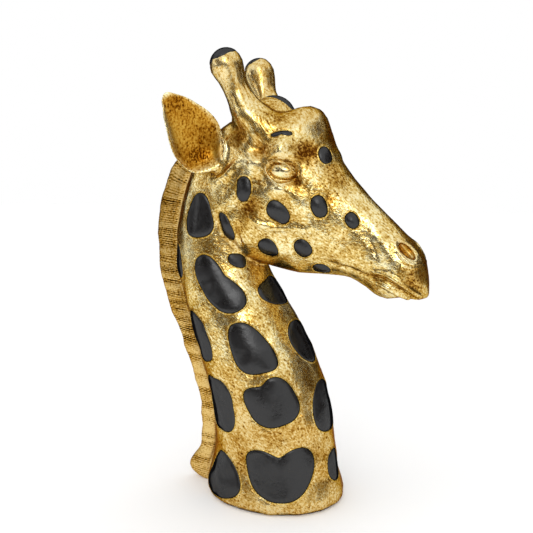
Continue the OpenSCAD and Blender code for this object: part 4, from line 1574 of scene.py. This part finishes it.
class Bust:
    """The whole dressed bust.

    A row of worn is a patch on the head: its middle along and up, its half sizes, its lean in degrees and
    how much umber shows there, partly real rubbed wear and partly painted shade. Below zero the leaf is
    painted brighter, a painted highlight. A row of warm is the same, for where the gold is made smoother and
    multiplied to amber as painted warm shade and bounced light. mane_line is how far from the middle plane
    the painted shade line beside the mane's root runs.
    """

    worn: tuple[Row, ...] = (
        # Umber flecks, partly worn leaf and partly painted shade: the brow and crown, the eye's corners, the
        # cheek, along the nose, round the ear.
        (75, 54, 13, 10, -25, 1.0), (86, 26, 8, 6, -30, 0.85), (52, -22, 12, 12, 0, 0.8),
        (49, 5, 8, 6, 0, 0.35), (35, 71, 9, 6, 0, 0.4), (104, 50, 36, 6, -26, 0.45),
        (121, 22, 9, 9, -40, 0.4), (232, -2, 14, 16, 0, 0.5), (7, 36, 8, 24, 0, 0.4),
        (84, 78, 10, 8, -40, 0.75), (180, 40, 50, 5, -20, 0.4), (-22, 30, 12, 25, 0, 0.4),
        (-26, -3, 11, 7, 20, 0.7), (-58, 38, 13, 9, 20, 0.45),
        # Painted highlight, the leaf made brighter: the forehead, the eye and its lids, the cheek, the
        # muzzle, below the ear, in the nostril.
        (66, 72, 16, 12, 0, -0.5), (59, 44, 7, 6, 0, -0.4), (36, 18, 7, 7, 0, -0.6), (72, 10, 8, 4, 0, -0.5),
        (102, 4, 14, 8, -20, -0.4), (160, 22, 30, 7, -22, -0.4), (200, -5, 20, 5, -20, -0.5),
        (70, 28, 18, 12, 20, -0.3), (66, 26, 6, 9, 10, -0.6), (-3, 14, 9, 9, 0, -1.1),
        (211, 15.6, 10, 4.5, -18, -1.2))
    warm: tuple[Row, ...] = (
        # Painted warm shade and bounced light: the eye's socket but not its ball, the temple, the ear's root
        # and the nostril.
        (64, 30, 22, 16, 20, 0.6), (34, 35, 10, 11, 0, 0.8), (7, 34, 8, 18, 0, 0.7),
        (206, 19, 9, 6, -20, 0.4), (66, 26, 6, 9, 10, -0.55), (211, 15.6, 10, 4, -18, 0.8))
    mane_line: float = 10.5
    wave_seed: int = 5
    rib_seed: int = 11

    def __init__(self) -> None:
        """Sets up its forms and finishes."""
        self.neck, self.head, self.ear, self.ossicone = NeckForm(), HeadForm(), Ear(), Ossicone()
        self.inlays = Inlays(self.neck, self.head)
        self.gold = GoldLeaf().build()
        self.black = BlackLacquer().build()
        # A darker copy of the leaf, painted shade for the mane and the lips round the spots.
        self.shaded_gold = GoldLeaf(name="shaded_gold_leaf", bright="#FFEBAA", pale="#E2BF66", gold="#B88D33",
                             deep="#5E3F12", umber="#1E1203", roughness=0.33).build()
        self.cube = 1.0

    def body(self) -> Field:
        """Grows the gilded body.

        Returns:
            The body's field, without its pockets.
        """
        body = Field((-132, 0, -5), (180, 86, 490), self.cube)
        self.neck.grow(body)
        self.head.grow(body, 5.0)
        self.ossicone.grow(body, self.head, 9.0)
        body.soften(2)
        body.ripple(self.waves(self.wave_seed))
        self.ear.grow(body, self.head, 5.0)
        Features(self.head).grow(body)
        return body

    def waves(self, seed: int) -> Array:
        """The unevenness left by the modeller's hands: waves that lie in all directions.

        Args:
            seed: Sets their directions and shifts.

        Returns:
            For each wave its vector in radians a millimetre, its shift and its height.
        """
        rng = np.random.default_rng(seed)
        long = np.geomspace(34, 14, 14)
        turn = unit(rng.normal(size=(len(long), 3)))
        shift = rng.uniform(0, 2 * math.pi, len(long))
        return np.column_stack([turn * (2 * math.pi / long)[:, None], shift, long * 0.006])

    def skin(self, body: Field) -> None:
        """Skins the body, with its pockets, and dresses it.

        Args:
            body: The body's field.
        """
        skin = body.copy()
        for spot in SPOTS:
            self.inlays.pocket(body, skin, spot)
        points, faces = skin.skin(0.25)
        points = skin.seat(points, 3)
        normals = skin.normal(points)
        s, h = self.head.axes(points[:, 0], points[:, 2])
        on_head = soft_step(s, -25, 40)[:, None]
        # The brush strokes run up the neck and turn to run along the head, twice as long as wide.
        root = self.head.place(np.float64(7), np.float64(0), np.float64(0))
        along_neck = points * [1, 1, 0.5]
        along_head = np.stack([root[0] + 0.5 * (s - 7), points[:, 1],
                               0.5 * root[2] + np.minimum(h, 62) + 0.35 * np.maximum(h - 62, 0)], 1)
        grain = (along_neck + on_head * (along_head - along_neck)) * MM
        marks = {"umber_and_shade": self.umber_and_shade(body, points), "smooth_amber_shade": self.smooth_amber_shade(body, points), "grain": grain}
        obj = make_object("gilded_casting", points, faces, normals, marks)
        dress(obj, self.gold, ["neck_casting", "head_casting", "ear_right", "ear_left",
                                            "ossicone_right", "ossicone_left"])

    def patches(self, points: Array, rows: Sequence[Row]) -> Array:
        """How strongly soft patches, set along and up the head, show at each point.

        Args:
            points: The points, one a row.
            rows: For each patch its middle along and up, its half sizes, its lean in degrees and strength.

        Returns:
            The sum of the patches at each point.
        """
        s, h = self.head.axes(points[:, 0], points[:, 2])
        total = np.zeros(len(points))
        for along, up, long, wide, lean, much in rows:
            a = math.radians(lean)
            ds, dh = s - along, h - up
            u, v = ds * math.cos(a) + dh * math.sin(a), dh * math.cos(a) - ds * math.sin(a)
            total += much * np.exp(-(u / long) ** 2 - (v / wide) ** 2)
        return total

    def umber_and_shade(self, body: Field, points: Array) -> Array:
        """How much umber and painted shade the gold gets: in hollows, on worn patches and in the crease
        beside the mane.

        Args:
            body: The body's field.
            points: The points, one a row.

        Returns:
            A share for each point, below zero where the leaf is painted brighter.
        """
        fine = body.copy()
        fine.soften(8)
        # Partly umber settled in hollows and partly painted shade there.
        hollow = np.clip(-fine.sample(points) / 0.9, -0.4, 0.8)
        neck = soft_step(-self.head.axes(points[:, 0], points[:, 2])[0], 0, 60)
        bowl = self.ear.bowl(self.head, points)
        # Painted shade: a dark line in the crease beside the mane's root.
        beside = np.exp(-((np.abs(points[:, 1]) - self.mane_line) / 1.8) ** 2)
        beside *= soft_step(-points[:, 2], -350, -320)
        beside *= np.abs(self.neck.turn_of(*points.T)) > 135
        # Painted shade in the ear's bowl, and less umber on the neck.
        return (0.35 * hollow + self.patches(points, self.worn) - 0.35 * neck * (1 - bowl) + 0.14 * bowl
                + 1.2 * beside)

    def smooth_amber_shade(self, body: Field, points: Array) -> Array:
        """Where the gold is made smoother and multiplied to amber, as painted warm shade and bounced light in
        ear bowls, hollows and worn patches, and also on the horns and foot.

        Args:
            body: The body's field.
            points: The points, one a row.

        Returns:
            A share for each point.
        """
        broad = body.coarse(3)
        broad.soften(6)
        # Painted warm shade in broad hollows.
        hollow = np.clip(-broad.sample(points) / 3.0, 0, 0.5)
        wear_and_shade = 0.8 * np.clip(self.patches(points, self.worn), 0, 1)
        h = self.head.axes(points[:, 0], points[:, 2])[1]
        horn = 0.35 * soft_step(h, 62, 80)
        foot = 0.45 * soft_step(-points[:, 2], -190, -90)
        bowl, warm = self.ear.bowl(self.head, points), self.patches(points, self.warm)
        return np.max([bowl, hollow, warm, wear_and_shade, horn, foot], axis=0)

    def spots(self, body: Field) -> None:
        """Makes the inlays and their lips on both sides.

        Args:
            body: The body's field.
        """
        for spot in SPOTS:
            stone, lip = self.inlays.stone(body, spot), self.inlays.lip(body, spot)
            for node in spot.nodes():
                right = node.endswith("_right")
                points, faces = to_right(*stone) if right else stone
                dress(make_object("inlay_" + node, points, faces), self.black,
                      [node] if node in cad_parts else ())
                points, faces = to_right(*lip) if right else lip
                marks = {"umber_and_shade": np.full(len(points), 0.1), "smooth_amber_shade": np.zeros(len(points)),
                         "grain": points * MM}
                dress(make_object("lip_" + node, points, faces, None, marks), self.shaded_gold)

    def trims(self) -> None:
        """Makes the mane and the caps, and finishes the plate and the felt."""
        points, faces, marks = Mane(self.neck).build(self.rib_seed)
        dress(make_object("carved_mane", points, faces, None, marks), self.shaded_gold, ["mane"])
        for side, reach in (("left", 54), ("right", 65)):
            cap = self.ossicone.cap(self.head, reach)
            points, faces = to_right(*cap) if side == "right" else cap
            dress(make_object(f"cap_{side}", points, faces), self.black,
                  [f"ossicone_cap_{side}"])
        for name, finish in (("base_plate", CastResin().build()), ("felt_pad", WoolFelt().build())):
            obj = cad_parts[name]
            obj.data.materials.clear()
            obj.data.materials.append(finish)

    def build(self) -> None:
        """Makes and dresses every piece."""
        body = self.body()
        LOG.info("body grown")
        self.skin(body)
        self.spots(body)
        self.trims()


def main() -> None:
    """Builds the bust and the studio."""
    logging.basicConfig(level=logging.INFO, format="%(name)s: %(message)s")
    Bust().build()
    Studio().build()


if __name__ == "__main__":
    main()
